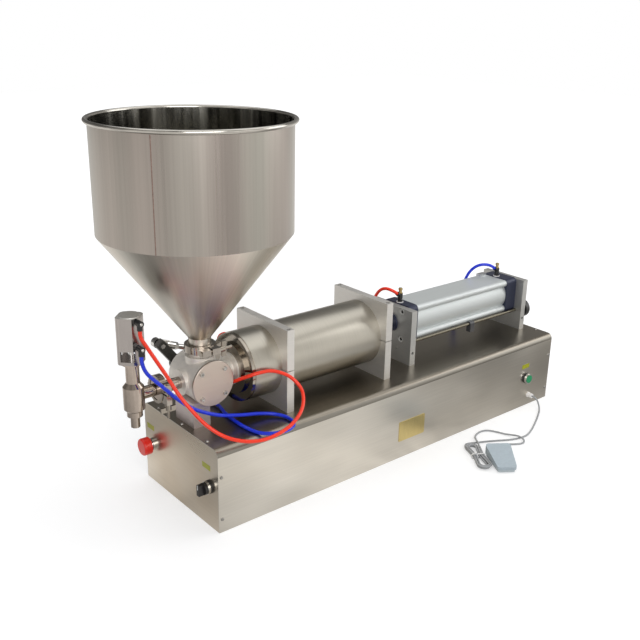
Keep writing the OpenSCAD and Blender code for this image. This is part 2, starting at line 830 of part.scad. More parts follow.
// Panel switch: collar, bezel ring, threaded barrel through the sheet, lock nut and contact block
module panel_switch(ring_bore, stem_bore, ring_h) {
    difference() {
        union() {
            cylinder(r = bezel_d / 2, h = collar_t);
            translate([0, 0, collar_t]) cylinder(r = bezel_d / 2 - bezel_step, h = ring_h);
            translate([0, 0, -switch_barrel_l])
                cylinder(r = switch_hole_d / 2 - hole_gap, h = switch_barrel_l + over);
            translate([0, 0, -sheet_t - switch_nut_t])
                cylinder(r = bezel_d / 2, h = switch_nut_t, $fn = 6);
            translate([-switch_block_w / 2, -switch_block_w / 2, -switch_barrel_l - switch_block_w])
                cube(switch_block_w);
        }
        translate([0, 0, collar_t]) cylinder(r = ring_bore, h = ring_h + over);
        translate([0, 0, -switch_barrel_l]) cylinder(r = stem_bore, h = switch_barrel_l + collar_t + over);
    }
}

module stop_collar() {
    color([0.75, 0.75, 0.74]) translate([-half_l, switch_y, switch_h]) rotate([0, -90, 0]) difference() {
        union() {
            panel_switch(stop_neck_r / 2, stop_stem_r + run_fit, over);
            cylinder(r = stop_neck_r, h = stop_neck_l);
        }
        translate([0, 0, -switch_barrel_l])
            cylinder(r = stop_stem_r + run_fit, h = switch_barrel_l + stop_neck_l + over);
    }
}

module stop_head() {
    x = -half_l - stop_neck_l - over;
    color([0.8, 0.08, 0.08]) translate([x, switch_y, switch_h]) rotate([0, -90, 0]) {
        rotate_extrude() difference() {
            union() {
                square([stop_d / 2 - stop_edge, stop_t]);
                square([stop_d / 2, stop_t - stop_edge]);
                translate([stop_d / 2 - stop_edge, stop_t - stop_edge]) circle(r = stop_edge);
            }
            translate([-stop_d, -over]) square([stop_d, stop_t + 2 * over]);
            translate([stop_stem_r, -over])
                square([stop_neck_r - stop_stem_r + hole_gap, stop_travel + 2 * over]);
        }
        translate([0, 0, -stop_neck_l - collar_t])
            cylinder(r = stop_stem_r, h = stop_neck_l + collar_t + stop_travel);
    }
}

module selector_collar() {
    color([0.3, 0.3, 0.31]) translate([-half_l, -switch_y, switch_h]) rotate([0, -90, 0])
        panel_switch(stem_r + run_fit, stem_r + run_fit, bezel_t - body_gap);
}

module selector_knob() {
    x = -half_l - collar_t - bezel_t;
    color([0.06, 0.06, 0.07]) translate([x, -switch_y, switch_h]) rotate([0, -90, 0]) {
        cylinder(r = grip_d / 2, h = grip_base_t);
        translate([-grip_d / 2 + over, -grip_w / 2, 0]) cube([grip_d - 2 * over, grip_w, grip_l]);
        translate([0, 0, -bezel_t - collar_t]) cylinder(r = stem_r, h = bezel_t + collar_t + over);
    }
}

module start_collar() {
    color([0.3, 0.3, 0.31]) translate([start_x, -base_w / 2, start_h]) rotate([90, 0, 0])
        panel_switch(start_d / 2 + run_fit, stem_r + run_fit, bezel_t);
}

module start_cap() {
    color([0.05, 0.55, 0.32]) translate([start_x, -base_w / 2 - collar_t, start_h]) rotate([90, 0, 0]) {
        translate([0, 0, start_travel + body_gap])
            cylinder(r = start_d / 2, h = bezel_t - start_travel + over);
        translate([0, 0, -collar_t]) cylinder(r = stem_r, h = collar_t + start_travel + over);
    }
}

// Plan of the pedal, drawn in by an inset all round
module pedal_plan(inset) {
    r = pedal_corner_r - inset;
    x = pedal_l / 2 - pedal_corner_r;
    hull() {
        for (s = [-1, 1]) {
            translate([x, s * (pedal_w / 2 - pedal_corner_r)]) circle(r = r, $fn = pedal_ends);
            translate([-x, s * (pedal_toe_w / 2 - pedal_corner_r)]) circle(r = r, $fn = pedal_ends);
        }
    }
}

module at_pedal() {
    translate([pedal_c[0], pedal_c[1], 0]) rotate([0, 0, pedal_turn]) children();
}

module pedal_base() {
    inset = pedal_shell + pedal_gap;
    block_x = pedal_l / 2 - pedal_shell - pedal_block_gap - pedal_block_l;
    block_w = pedal_w - 2 * inset - pedal_block_l;
    color([0.55, 0.6, 0.66]) at_pedal() difference() {
        union() {
            linear_extrude(height = pedal_floor_t) pedal_plan(inset);
            difference() {
                linear_extrude(height = pedal_tray_h) pedal_plan(inset);
                translate([0, 0, over])
                    linear_extrude(height = pedal_tray_h) pedal_plan(inset + pedal_shell);
            }
            translate([block_x, -block_w / 2, over]) cube([pedal_block_l, block_w, pedal_block_h - over]);
            translate([-pedal_switch[0] / 2, -pedal_switch[1] / 2, over]) cube(pedal_switch);
            translate([block_x + over, 0, pedal_boss_z])
                rod_x(pedal_boss_d / 2, pedal_l / 2 - block_x - over + pedal_boss_l);
        }
        translate([pedal_l / 2 - pedal_pin_inset, -pedal_w, pedal_pin_z])
            rod_y(pedal_pin_r + run_fit, 2 * pedal_w);
    }
}

module pedal_treadle() {
    slope = atan2(pedal_h - pedal_toe_h, pedal_l);
    color([0.68, 0.73, 0.78]) at_pedal() {
        difference() {
            linear_extrude(height = pedal_h) pedal_plan(0);
            translate([0, 0, -pedal_shell]) intersection() {
                translate([0, 0, -over]) linear_extrude(height = pedal_h) pedal_plan(pedal_shell);
                translate([pedal_l / 2, 0, pedal_h]) rotate([0, -slope, 0])
                    translate([-2 * pedal_l, -pedal_w, -2 * pedal_h])
                        cube([3 * pedal_l, 2 * pedal_w, 2 * pedal_h]);
            }
            translate([pedal_l / 2, 0, pedal_h]) rotate([0, -slope, 0])
                translate([-2 * pedal_l, -pedal_w, 0]) cube([3 * pedal_l, 2 * pedal_w, pedal_h]);
            translate([-pedal_l, -pedal_w, -pedal_h])
                cube([2 * pedal_l, 2 * pedal_w, pedal_h + pedal_skirt_z]);
            translate([pedal_l / 4, -pedal_boss_d / 2 - over, 0])
                cube([pedal_l, pedal_boss_d + 2 * over, pedal_boss_z + pedal_boss_d / 2 + 2 * over]);
        }
        translate([pedal_l / 2 - pedal_pin_inset, -pedal_pin_l / 2, pedal_pin_z])
            rod_y(pedal_pin_r, pedal_pin_l);
    }
}

// Place of one ring of the hank. Its rings go round in two half turns of hank_arc steps, with
// straight runs of hank_cross steps between them, and climb over in one such run.
hank_cross = 4;
hank_arc = hank_rings / 2 - hank_cross;
hank_climb = hank_rings * (hank_loops / 2) - hank_cross;
hank_stop = hank_rings * hank_loops;
hank_skip = 6;
function hank_out(f) = f < hank_climb ? hank_climb - f : max(f - hank_climb - hank_cross, 0);
function hank_r(f) = hank_inner + hank_step * hank_out(f) / hank_rings;
function hank_z(f) = hank_low + hank_layer * min(max((f - hank_climb) / hank_cross, 0), 1);
function hank_end(a, r) = [hank_half + r * cos(a), r * sin(a)];
function hank_run(x, r) = [x, r - hank_draw * (1 + cos(180 * x / hank_half)) / 2];
function hank_plan(g, r) =
    g < hank_arc ? hank_end(180 * g / hank_arc - 90, r)
    : g < hank_arc + hank_cross ? hank_run(hank_half * (1 - 2 * (g - hank_arc) / hank_cross), r)
    : -hank_plan(g - hank_arc - hank_cross, r);
function hank_world(p, z) = [
    hank_c[0] + p[0] * cos(hank_turn) - p[1] * sin(hank_turn),
    hank_c[1] + p[0] * sin(hank_turn) + p[1] * cos(hank_turn), z];
function hank_ring(f) = hank_world(hank_plan(f % hank_rings, hank_r(f)), hank_z(f));
hank_dir = [cos(hank_turn), sin(hank_turn), 0];
hank_path = [for (f = [hank_start : hank_stop]) hank_ring(f)];
hank_first = hank_path[0];
hank_last = hank_path[len(hank_path) - 1];
hank_gap = min([
    for (i = [0 : len(hank_path) - 1], j = [0 : len(hank_path) - 1])
        if (j - i > hank_skip) norm(hank_path[i] - hank_path[j])]) - cable_d;
echo(hank_gap = hank_gap);

gland_end = [start_x + gland_side, -base_w / 2 - gland_l, gland_h];
pedal_dir = [cos(pedal_turn), sin(pedal_turn), 0];
pedal_end = [pedal_c[0], pedal_c[1], pedal_boss_z] + (pedal_l / 2 + pedal_boss_l) * pedal_dir;
hank_lead = 1.4 * cable_d * hank_dir;
path_in = concat(
    [gland_end, gland_end + cable_d * front], placed(gland_end, cable_drop), cable_in,
    [hank_first + hank_lead]);
path_out = concat(
    [hank_last + hank_lead], cable_out, [pedal_end + cable_d * pedal_dir, pedal_end]);
whole_in = concat(smooth(path_in, 3), [hank_first]);
whole_out = concat([hank_last], smooth(path_out, 3));
echo(cable_length = run_length(whole_in) + run_length(hank_path) + run_length(whole_out));

module pedal_cable() {
    color([0.5, 0.51, 0.52]) {
        sweep(whole_in, cable_d / 2, tube_sides);
        sweep(whole_out, cable_d / 2, tube_sides);
    }
}

module pedal_hank() {
    color([0.5, 0.51, 0.52]) sweep(hank_path, cable_d / 2, hank_sides);
}

module hank_tie() {
    half = hank_r(hank_stop) - hank_draw + cable_d / 2 + tie_gap + over;
    low = hank_low - cable_d / 2 - tie_gap;
    high = hank_low + hank_layer + cable_d / 2 + tie_gap;
    color([0.9, 0.9, 0.9]) translate([hank_c[0], hank_c[1], 0]) rotate([0, 0, hank_turn]) difference() {
        translate([-tie_w / 2, -half - tie_t, low - tie_t])
            cube([tie_w, 2 * (half + tie_t), high - low + 2 * tie_t]);
        translate([-tie_w, -half, low]) cube([2 * tie_w, 2 * half, high - low]);
    }
}

module clamp_half(x, z, h) {
    difference() {
        translate([x - clamp_t / 2, -clamp_w / 2, z]) cube([clamp_t, clamp_w, h]);
        translate([x - clamp_t, 0, axis_z]) rod_x(tube_r + seat_fit, 2 * clamp_t);
        for (s = [-1, 1])
            translate([x, s * bolt_y, 0]) children();
    }
}

module clamp_base(x) {
    clamp_half(x, base_h, axis_h - clamp_gap / 2)
        translate([0, 0, axis_z - clamp_gap / 2 - bolt_hold])
            cylinder(r = clamp_screw_d / 2 + seat_fit, h = bolt_hold + over);
}

module clamp_cap(x) {
    low = axis_z + clamp_gap / 2;
    clamp_half(x, low, base_h + clamp_h - low) {
        translate([0, 0, low - over]) cylinder(r = clamp_screw_d / 2 + hole_gap, h = clamp_h);
        translate([0, 0, base_h + clamp_h - clamp_seat])
            cylinder(r = clamp_screw_d * head_share + hole_gap, h = clamp_seat + over);
    }
}

module front_clamp_base() color([0.78, 0.77, 0.74]) clamp_base(front_clamp_x);
module front_clamp_cap() color([0.78, 0.77, 0.74]) clamp_cap(front_clamp_x);
module rear_clamp_base() color([0.78, 0.77, 0.74]) clamp_base(rear_clamp_x);
module rear_clamp_cap() color([0.78, 0.77, 0.74]) clamp_cap(rear_clamp_x);

module plate_screws() {
    low = axis_z - clamp_gap / 2 - bolt_hold;
    seat = base_h + clamp_h - clamp_seat;
    color([0.3, 0.3, 0.31]) {
        for (x = [front_clamp_x, rear_clamp_x], s = [-1, 1])
            translate([x, s * bolt_y, seat]) socket_screw(clamp_screw_d, seat - low);
        for (y = [-1, 1], z = [-1, 1]) {
            translate([cap_front_x - bolt_land, y * cap_bolt, axis_z + z * cap_bolt]) rotate([0, -90, 0])
                socket_screw(bolt_d, bolt_land + bolt_hold);
            translate([cap_rear_x + cap_rear_l + bolt_land, y * cap_bolt, axis_z + z * cap_bolt])
                rotate([0, 90, 0]) socket_screw(bolt_d, bolt_land + bolt_hold);
        }
    }
}

module filling_cylinder() {
    color([0.75, 0.74, 0.71]) translate([tube_x, 0, axis_z]) difference() {
        rod_x(tube_r, tube_l);
        translate([-over, 0, 0]) rod_x(bore_r, tube_l + 2 * over);
    }
}

module cylinder_cover() {
    color([0.55, 0.52, 0.48]) translate([cover_x, 0, axis_z]) difference() {
        union() {
            rod_x(tube_r - over, cover_t);
            translate([-cover_step_t, 0, 0]) rod_x(cover_step_d / 2, cover_step_t + over);
            translate([cover_t - over, 0, 0]) rod_x(bore_r - run_fit, cover_spigot_t + over);
        }
        translate([-cover_step_t - over, 0, 0])
            rod_x(port_d / 2, cover_step_t + cover_t + cover_spigot_t + 2 * over);
    }
}

module filling_piston() {
    color([0.7, 0.7, 0.68]) translate([piston_x, 0, axis_z]) difference() {
        rod_x(bore_r - run_fit, piston_t);
        for (s = [1, 3])
            translate([s * piston_t / 4 - seal_w / 2, 0, 0]) difference() {
                rod_x(tube_r, seal_w);
                translate([-over, 0, 0]) rod_x(bore_r - seal_depth, seal_w + 2 * over);
            }
        translate([piston_t - rod_seat, 0, 0]) rod_x(rod_d / 2 + seat_fit, rod_seat + over);
    }
}

module piston_rod() {
    start = piston_x + piston_t - rod_seat;
    color([0.82, 0.82, 0.81]) {
        translate([start, 0, axis_z]) rod_x(rod_d / 2, air_piston_x - start);
        translate([piston_x + piston_t, 0, axis_z]) rod_x(rod_nut_d / 2, rod_nut_t);
        translate([air_piston_x - over, 0, axis_z])
            rod_x(rod_end_d / 2, air_piston_t + rod_end_nut_t + over);
        translate([air_piston_x + air_piston_t, 0, axis_z])
            rod_x(rod_end_d, rod_end_nut_t - over, $fn = 6);
    }
}

module air_plate(x) {
    translate([x, -air_plate_w / 2, base_h]) cube([air_plate_t, air_plate_w, air_plate_h]);
}

module at_cap_bolts() {
    for (y = [-1, 1], z = [-1, 1])
        translate([0, y * cap_bolt, axis_z + z * cap_bolt]) children();
}

module air_plate_front() {
    x = cap_front_x - air_plate_t;
    color([0.62, 0.61, 0.59]) difference() {
        air_plate(x);
        translate([x - over, 0, axis_z]) rod_x(cap_boss_d / 2 + hole_gap, air_plate_t + 2 * over);
        at_cap_bolts() {
            translate([x - over, 0, 0]) rod_x(bolt_d / 2 + hole_gap, air_plate_t + 2 * over);
            translate([x - over, 0, 0])
                rod_x(bolt_d * head_share + hole_gap, air_plate_t - bolt_land + over);
        }
        translate([cap_front_x - adjuster_seat, adjuster_y, adjuster_z])
            rod_x(adjuster_d / 2 + run_fit, adjuster_seat + over);
        translate([x - over, -face_hole_y, base_h + side_hole_z]) rod_x(face_hole_d / 2, adjuster_seat);
        translate([x + air_plate_t / 2, -air_plate_w / 2 - over, base_h + side_hole_z])
            rod_y(side_hole_d / 2, side_hole_depth);
    }
}

module air_plate_rear() {
    x = cap_rear_x + cap_rear_l;
    color([0.62, 0.61, 0.59]) difference() {
        air_plate(x);
        at_cap_bolts() {
            translate([x - over, 0, 0]) rod_x(bolt_d / 2 + hole_gap, air_plate_t + 2 * over);
            translate([x + bolt_land, 0, 0]) rod_x(bolt_d * head_share + hole_gap, air_plate_t);
        }
        translate([x - over, adjuster_y, adjuster_z])
            rod_x(adjuster_d / 2 + run_fit, air_plate_t + 2 * over);
        translate([x + air_plate_t / 2, -air_plate_w / 2 - over, base_h + side_hole_z])
            rod_y(side_hole_d / 2, side_hole_depth);
    }
}

module barrel_outline(grow) {
    circle(r = air_r + barrel_wall + grow);
    square([2 * cap_bolt, 2 * (cap_bolt + lobe_r + grow)], center = true);
    for (y = [-1, 1], z = [-1, 1])
        translate([y * cap_bolt, z * cap_bolt]) circle(r = lobe_r + grow);
}

module air_barrel() {
    color([0.72, 0.75, 0.78]) translate([barrel_x, 0, axis_z]) difference() {
        in_section(barrel_l) barrel_outline(0);
        translate([-over, 0, 0]) rod_x(air_r, barrel_l + 2 * over);
        for (y = [-1, 1], z = [-1, 1])
            translate([-over, y * cap_bolt, z * cap_bolt]) rod_x(tie_r, barrel_l + 2 * over);
    }
}

module air_cap_front() {
    color([0.12, 0.14, 0.2]) difference() {
        union() {
            translate([cap_front_x, 0, axis_z]) in_section(cap_front_l) rounded(cap_w, cap_w, cap_corner_r);
            translate([cap_front_x - cap_boss_l, 0, axis_z]) rod_x(cap_boss_d / 2, cap_boss_l + over);
        }
        translate([cap_front_x - cap_boss_l - over, 0, axis_z])
            rod_x(rod_d / 2 + run_fit, cap_boss_l + cap_front_l + 2 * over);
        translate([cap_front_x - over, 0, 0]) at_cap_bolts() rod_x(bolt_d / 2 + seat_fit, bolt_hold + over);
    }
}

module air_cap_rear() {
    color([0.12, 0.14, 0.2]) difference() {
        translate([cap_rear_x, 0, axis_z]) in_section(cap_rear_l) rounded(cap_w, cap_w, cap_corner_r);
        translate([cap_rear_x + cap_rear_l - bolt_hold, 0, 0]) at_cap_bolts()
            rod_x(bolt_d / 2 + seat_fit, bolt_hold + over);
    }
}

module air_piston() {
    color([0.5, 0.5, 0.5]) translate([air_piston_x, 0, axis_z]) difference() {
        rod_x(air_r - run_fit, air_piston_t);
        translate([-over, 0, 0]) rod_x(rod_end_d / 2 + seat_fit, air_piston_t + 2 * over);
        for (s = [1, 3])
            translate([s * air_piston_t / 4 - seal_w / 2, 0, 0]) difference() {
                rod_x(air_r + over, seal_w);
                translate([-over, 0, 0]) rod_x(air_r - seal_depth, seal_w + 2 * over);
            }
    }
}

// Push-in elbow: hexagon on the port, body, and a socket along +X. With a knob it slants upwards
module elbow(knob) {
    cylinder(r = fit_r, h = fit_screw_h * fit_hex_share, $fn = 6);
    cylinder(r = thin_fit_r, h = fit_screw_h + over);
    translate([0, 0, fit_screw_h]) cylinder(r = fit_r, h = 2 * fit_r);
    translate([0, 0, fit_screw_h + fit_r]) rotate([0, knob ? -fit_slant : 0, 0])
        rod_x(fit_r * fit_socket_share, fit_arm);
    if (knob)
        translate([0, 0, fit_screw_h + 2 * fit_r]) cylinder(r = fit_knob_d / 2, h = fit_knob_h);
}

// Bulkhead on the base's top: hexagon and a socket pointing up
module bulkhead(p) {
    translate([p[0], p[1], base_h]) {
        cylinder(r = fit_r + over, h = socket_h / 3, $fn = 6);
        cylinder(r = fit_r, h = socket_h);
    }
}

// Bulkhead elbow with its socket low over the base, towards -Y
module low_elbow(p) {
    translate([p[0], p[1] + fit_arm, base_h]) {
        cylinder(r = low_elbow_r, h = 2 * low_elbow_z);
        translate([0, 0, low_elbow_z]) rotate([90, 0, 0]) cylinder(r = low_elbow_r, h = fit_arm);
    }
}

module air_fittings() {
    color([0.08, 0.08, 0.09]) {
        for (x = [port_x_front, port_x_rear])
            translate([x, 0, axis_z + cap_w / 2]) rotate([0, 0, 180]) elbow(true);
        for (z = [lifter_port_low, lifter_port_high])
            translate([nozzle_x, -lifter_flat, z]) rotate([90, 90, 0]) elbow(false);
        bulkhead(red_exit);
        low_elbow(blue_exit);
        bulkhead(red_loop_exit);
        bulkhead(blue_loop_exit);
        bulkhead(turner_red_exit);
        bulkhead(turner_blue_exit);
    }
}

module reed_sensor() {
    color([0.7, 0.71, 0.72]) difference() {
        translate([sensor_x, cap_bolt - sensor_w / 2, axis_z + cap_bolt])
            cube([sensor_l, sensor_w, sensor_h]);
        translate([sensor_x - over, 0, axis_z]) in_section(sensor_l + 2 * over) barrel_outline(seat_fit);
    }
}

module stroke_screw() {
    color([0.75, 0.75, 0.74]) translate([adjuster_x, adjuster_y, adjuster_z])
        rod_x(adjuster_d / 2, wheel_x + wheel_t - adjuster_x);
}

module stroke_handwheel() {
    color([0.06, 0.06, 0.07]) translate([wheel_x, adjuster_y, adjuster_z]) difference() {
        rod_x(wheel_d / 2, wheel_t);
        translate([wheel_web_t, 0, 0]) difference() {
            rod_x(wheel_d / 2 - wheel_gap, wheel_t);
            rod_x(wheel_hub_d / 2, wheel_t);
        }
        translate([-over, 0, 0]) rod_x(adjuster_d / 2 + seat_fit, wheel_t + 2 * over);
    }
}

module sensor_slider() {
    color([0.15, 0.15, 0.16]) translate([slider_x - slider_l / 2, adjuster_y, adjuster_z]) difference() {
        union() {
            rod_x(slider_collar_r, slider_l);
            translate([0, -slider_w / 2, -slider_h]) cube([slider_l, slider_w, slider_h]);
        }
        translate([-over, 0, 0]) rod_x(adjuster_d / 2 + run_fit, slider_l + 2 * over);
    }
}

module at_valve(y) translate([valve_x, y, axis_z]) children();

module valve_body() {
    color([0.68, 0.65, 0.61]) difference() {
        union() {
            at_valve(drum_front) rod_y(drum_r, drum_flange_t);
            at_valve(drum_front) rod_y(drum_body_r, drum_l);
            at_valve(0) {
                rod_x(side_neck_d / 2, side_face - side_flange_t + over);
                translate([side_face - side_flange_t, 0, 0]) rod_x(side_flange_d / 2, side_flange_t);
                translate([-left_boss_x, 0, 0]) rod_x(left_boss_d / 2, left_boss_x);
                cylinder(r = top_boss_d / 2, h = top_boss_z);
                cylinder(r = neck_r, h = valve_neck_top + over);
                translate([0, 0, valve_neck_top]) cylinder(r = hopper_ferrule_d / 2, h = hopper_ferrule_t);
            }
        }
        at_valve(drum_front - over) rod_y(rotor_d / 2 + run_fit, drum_l - drum_rear_t + over);
        at_valve(0) {
            rod_y(shaft_d / 2 + run_fit, drum_l);
            cylinder(r = port_d / 2, h = valve_neck_top + hopper_ferrule_t + over);
            rod_x(port_d / 2, side_face + over);
            translate([-left_boss_x + left_wall_t, 0, 0]) rod_x(port_d / 2, left_boss_x);
            translate([-left_boss_x - over, 0, 0]) rod_x(pipe_r - pipe_wall, left_boss_x);
        }
        at_disc_screws(drum_front - over) rod_y(disc_screw_d / 2 + seat_fit, disc_screw_l);
    }
}

module at_disc_screws(y) {
    for (a = [45 : 90 : 315])
        at_valve(y) rotate([0, a, 0]) translate([disc_screw_r, 0, 0]) children();
}

module valve_rotor() {
    color([0.72, 0.71, 0.69]) difference() {
        union() {
            at_valve(rotor_front) rod_y(rotor_d / 2, rotor_back - rotor_front);
            at_valve(rotor_back - over) rod_y(shaft_d / 2, crank_y + crank_t - rotor_back + over);
        }
        at_valve(0) {
            translate([0, 0, -rotor_d]) cylinder(r = port_d / 2, h = 2 * rotor_d);
            rod_x(port_d / 2, rotor_d);
        }
    }
}

module valve_front_cover() {
    color([0.68, 0.65, 0.61]) difference() {
        union() {
            at_valve(drum_front - disc_t + disc_edge) rod_y(drum_r, disc_t - disc_edge);
            at_valve(drum_front - disc_t) rotate([-90, 0, 0])
                cylinder(r1 = drum_r - disc_edge, r2 = drum_r, h = disc_edge);
        }
        at_disc_screws(drum_front - disc_t - over) rod_y(disc_screw_d / 2 + hole_gap, disc_t + 2 * over);
    }
}

module valve_cover_screws() {
    color([0.75, 0.74, 0.72])
        at_disc_screws(drum_front - disc_t) rotate([90, 0, 0]) {
            difference() {
                cylinder(r = disc_screw_d * head_share, h = disc_screw_d / 2);
                translate([0, 0, over])
                    cylinder(r = disc_screw_d * socket_share, h = disc_screw_d, $fn = 6);
            }
            translate([0, 0, -disc_t - disc_screw_l + 2 * over])
                cylinder(r = disc_screw_d / 2, h = disc_t + disc_screw_l - over);
        }
}

module valve_support() {
    color([0.78, 0.76, 0.73]) difference() {
        translate([block_x, -block_w / 2, base_h]) cube([block_l, block_w, block_h]);
        at_valve(-block_w) rod_y(drum_body_r + seat_fit, 2 * block_w);
    }
}

// In the crank's plane: +X along the arm
module at_crank(y) at_valve(y) rotate([0, -crank_rest, 0]) children();

module valve_crank() {
    color([0.1, 0.1, 0.11]) difference() {
        union() {
            at_crank(crank_y) rod_y(crank_hub_d / 2, crank_t);
            at_crank(crank_y) translate([0, 0, -crank_w / 2])
                cube([crank_r + crank_end, crank_t, crank_w]);
            at_crank(crank_y + crank_t - over) translate([crank_r, 0, 0])
                rod_y(spacer_d / 2, turner_y - eye_t / 2 - body_gap - crank_y - crank_t + over);
            at_crank(crank_y - pin_head_t) translate([crank_r, 0, 0])
                rod_y(pin_head_d / 2, pin_head_t + over, $fn = 6);
        }
        at_crank(crank_y - over) rod_y(shaft_d / 2 + seat_fit, crank_t + 2 * over);
    }
}

// Along the small air cylinder, from its tail pivot to the crank pin, +Z up
module at_turner(s) {
    translate([tail_px, turner_y, tail_z]) rotate([0, turner_tilt, 0]) rotate([0, 0, 180])
        translate([s, 0, 0]) children();
}

module turning_cylinder() {
    front = turner_start + turner_l;
    color([0.72, 0.73, 0.74]) {
        difference() {
            union() {
                at_turner(0) translate([0, -tongue_t / 2, 0]) rod_y(ear_w / 2, tongue_t);
                at_turner(0) translate([0, -tongue_t / 2, -ear_w / 2])
                    cube([turner_start + over, tongue_t, ear_w]);
                at_turner(turner_start) rod_x(turner_d / 2, turner_cap_l);
                at_turner(turner_start + over) rod_x(turner_barrel_d / 2, turner_l - 2 * over);
                at_turner(front - turner_cap_l) rod_x(turner_d / 2, turner_cap_l);
            }
            at_turner(0) translate([0, -tongue_t, 0]) rod_y(pin_d / 2 + run_fit, 2 * tongue_t);
            at_turner(turner_start + turner_end_t) rod_x(turner_bore_r, turner_l - 2 * turner_end_t);
            at_turner(front - 2 * turner_end_t) rod_x(turner_rod_d / 2 + run_fit, 3 * turner_end_t);
        }
        for (s = [turner_red_s, turner_blue_s])
            at_turner(s) translate([0, 0, turner_d / 2 - over]) {
                cylinder(r = fit_r, h = thin_fit_h / 2 + over, $fn = 6);
                cylinder(r = thin_fit_r, h = thin_fit_h + over);
            }
    }
}

module turning_rod() {
    front = turner_start + turner_l - turner_end_t - rod_play;
    nut = turner_span - knuckle_l - knuckle_nut_t;
    color([0.8, 0.8, 0.79]) difference() {
        union() {
            at_turner(front - turner_piston_t) rod_x(turner_bore_r - run_fit, turner_piston_t);
            at_turner(front - over) rod_x(turner_rod_d / 2, turner_span - knuckle_l - front + 2 * over);
            at_turner(nut) rod_x(knuckle_r, knuckle_nut_t, $fn = 6);
            at_turner(nut + knuckle_nut_t - over) rod_x(knuckle_r, knuckle_l / 2);
            at_turner(nut + knuckle_nut_t + knuckle_l / 4)
                translate([0, -knuckle_r * knuckle_share, -knuckle_r])
                    cube([knuckle_l * 3 / 4, 2 * knuckle_r * knuckle_share, 2 * knuckle_r]);
            at_turner(turner_span) translate([0, -eye_t / 2, 0]) rod_y(eye_d / 2, eye_t);
            at_turner(turner_span) translate([0, -eye_t / 2 - pin_head_t, 0])
                rod_y(pin_head_d / 2, pin_head_t + over, $fn = 6);
        }
    }
}

module turning_bracket() {
    gap = tongue_t / 2 + ear_play;
    color([0.68, 0.68, 0.67]) difference() {
        union() {
            translate([tail_px - bracket_l / 2, turner_y - gap - ear_t, base_h])
                cube([bracket_l, 2 * (gap + ear_t), bracket_t]);
            for (s = [-1, 1])
                translate([tail_px, turner_y + s * (gap + ear_t / 2) - ear_t / 2, 0]) {
                    translate([-ear_w / 2, 0, base_h + bracket_t - over])
                        cube([ear_w, ear_t, tail_h - bracket_t + over]);
                    translate([0, 0, tail_z]) rod_y(ear_w / 2, ear_t);
                }
            translate([tail_px, turner_y - gap - ear_t - pin_out, tail_z])
                rod_y(pin_d / 2, 2 * (gap + ear_t + pin_out));
            for (s = [-1, 1])
                translate([tail_px, turner_y + s * (gap + ear_t + pin_out / 2) - pin_out / 2, tail_z])
                    rod_y(pin_head_d / 2, pin_out);
        }
    }
}

module hopper() {
    color([0.66, 0.64, 0.61]) translate([valve_x, 0, 0]) rotate_extrude() {
        polygon([
            [neck_r - hopper_wall, hopper_z], [hopper_ferrule_d / 2, hopper_z],
            [hopper_ferrule_d / 2, hopper_z + hopper_ferrule_t], [neck_r, hopper_z + hopper_ferrule_t],
            [neck_r, cone_foot], [hopper_r, cone_top], [hopper_r, hopper_top - bead_r],
            [hopper_r - hopper_wall, hopper_top - bead_r], [hopper_r - hopper_wall, cone_top],
            [neck_r - hopper_wall, cone_foot]]);
        translate([hopper_r + bead_r - hopper_wall / 2, hopper_top - bead_r]) circle(r = bead_r);
    }
}

// Clamp for two ferrules: local Z along the pipe, its lugs towards -Y, its swing bolt along +X
module ferrule_ring(fr, h) {
    out = fr + ring_wall;
    difference() {
        union() {
            cylinder(r = out, h = h + 2 * ring_lip, center = true);
            for (s = [-1, 1])
                translate([s * (lug_gap + lug_w) / 2 - lug_w / 2, -out - lug_l, -h / 2])
                    cube([lug_w, lug_l + ring_wall, h]);
            translate([0, out, 0]) cylinder(r = ring_wall, h = h, center = true);
        }
        cylinder(r = fr + seat_fit, h = h, center = true);
        cylinder(r = fr - ring_lip, h = 2 * h, center = true);
        translate([-ring_slit / 2, -2 * out, -h]) cube([ring_slit, 2 * out, 2 * h]);
        translate([-lug_w * 2, -out - lug_l / 2, 0]) rod_x(swing_d / 2 + hole_gap, lug_w * 4);
    }
}

module swing_nut(fr) {
    y = -fr - ring_wall - lug_l / 2;
    out = lug_gap / 2 + lug_w;
    translate([-out - swing_head_t, y, 0]) rod_x(nut_d / 2, swing_head_t, $fn = 6);
    translate([-out - over, y, 0]) rod_x(swing_d / 2, swing_l);
    translate([out, y, 0]) rod_x(nut_d / 2, nut_t);
    translate([out + nut_t / 2, y - wing_t / 2, -wing_h]) cube([wing_l, wing_t, 2 * wing_h]);
}

module at_hopper_ring() translate([valve_x, 0, hopper_z - gasket_t / 2]) children();
module at_outlet_ring() translate([outlet_x, 0, axis_z]) rotate([0, 90, 0]) children();

module hopper_clamp() {
    color([0.6, 0.58, 0.55]) at_hopper_ring()
        ferrule_ring(hopper_ferrule_d / 2, 2 * hopper_ferrule_t + gasket_t);
}

module outlet_clamp() {
    color([0.6, 0.58, 0.55]) at_outlet_ring() ferrule_ring(ferrule_d / 2, 2 * ferrule_t);
}

module clamp_wing_nuts() {
    color([0.7, 0.68, 0.64]) {
        at_hopper_ring() swing_nut(hopper_ferrule_d / 2);
        at_outlet_ring() swing_nut(ferrule_d / 2);
    }
}

module outlet_pipe() {
    color([0.7, 0.68, 0.65]) translate([outlet_x, 0, axis_z]) difference() {
        union() {
            rod_x(ferrule_d / 2, ferrule_t);
            rod_x(pipe_r, valve_x - left_boss_x - outlet_x);
        }
        translate([-over, 0, 0])
            rod_x(pipe_r - pipe_wall, valve_x - left_boss_x - outlet_x + 2 * over);
    }
}

module at_nozzle(z) translate([nozzle_x, 0, z]) children();

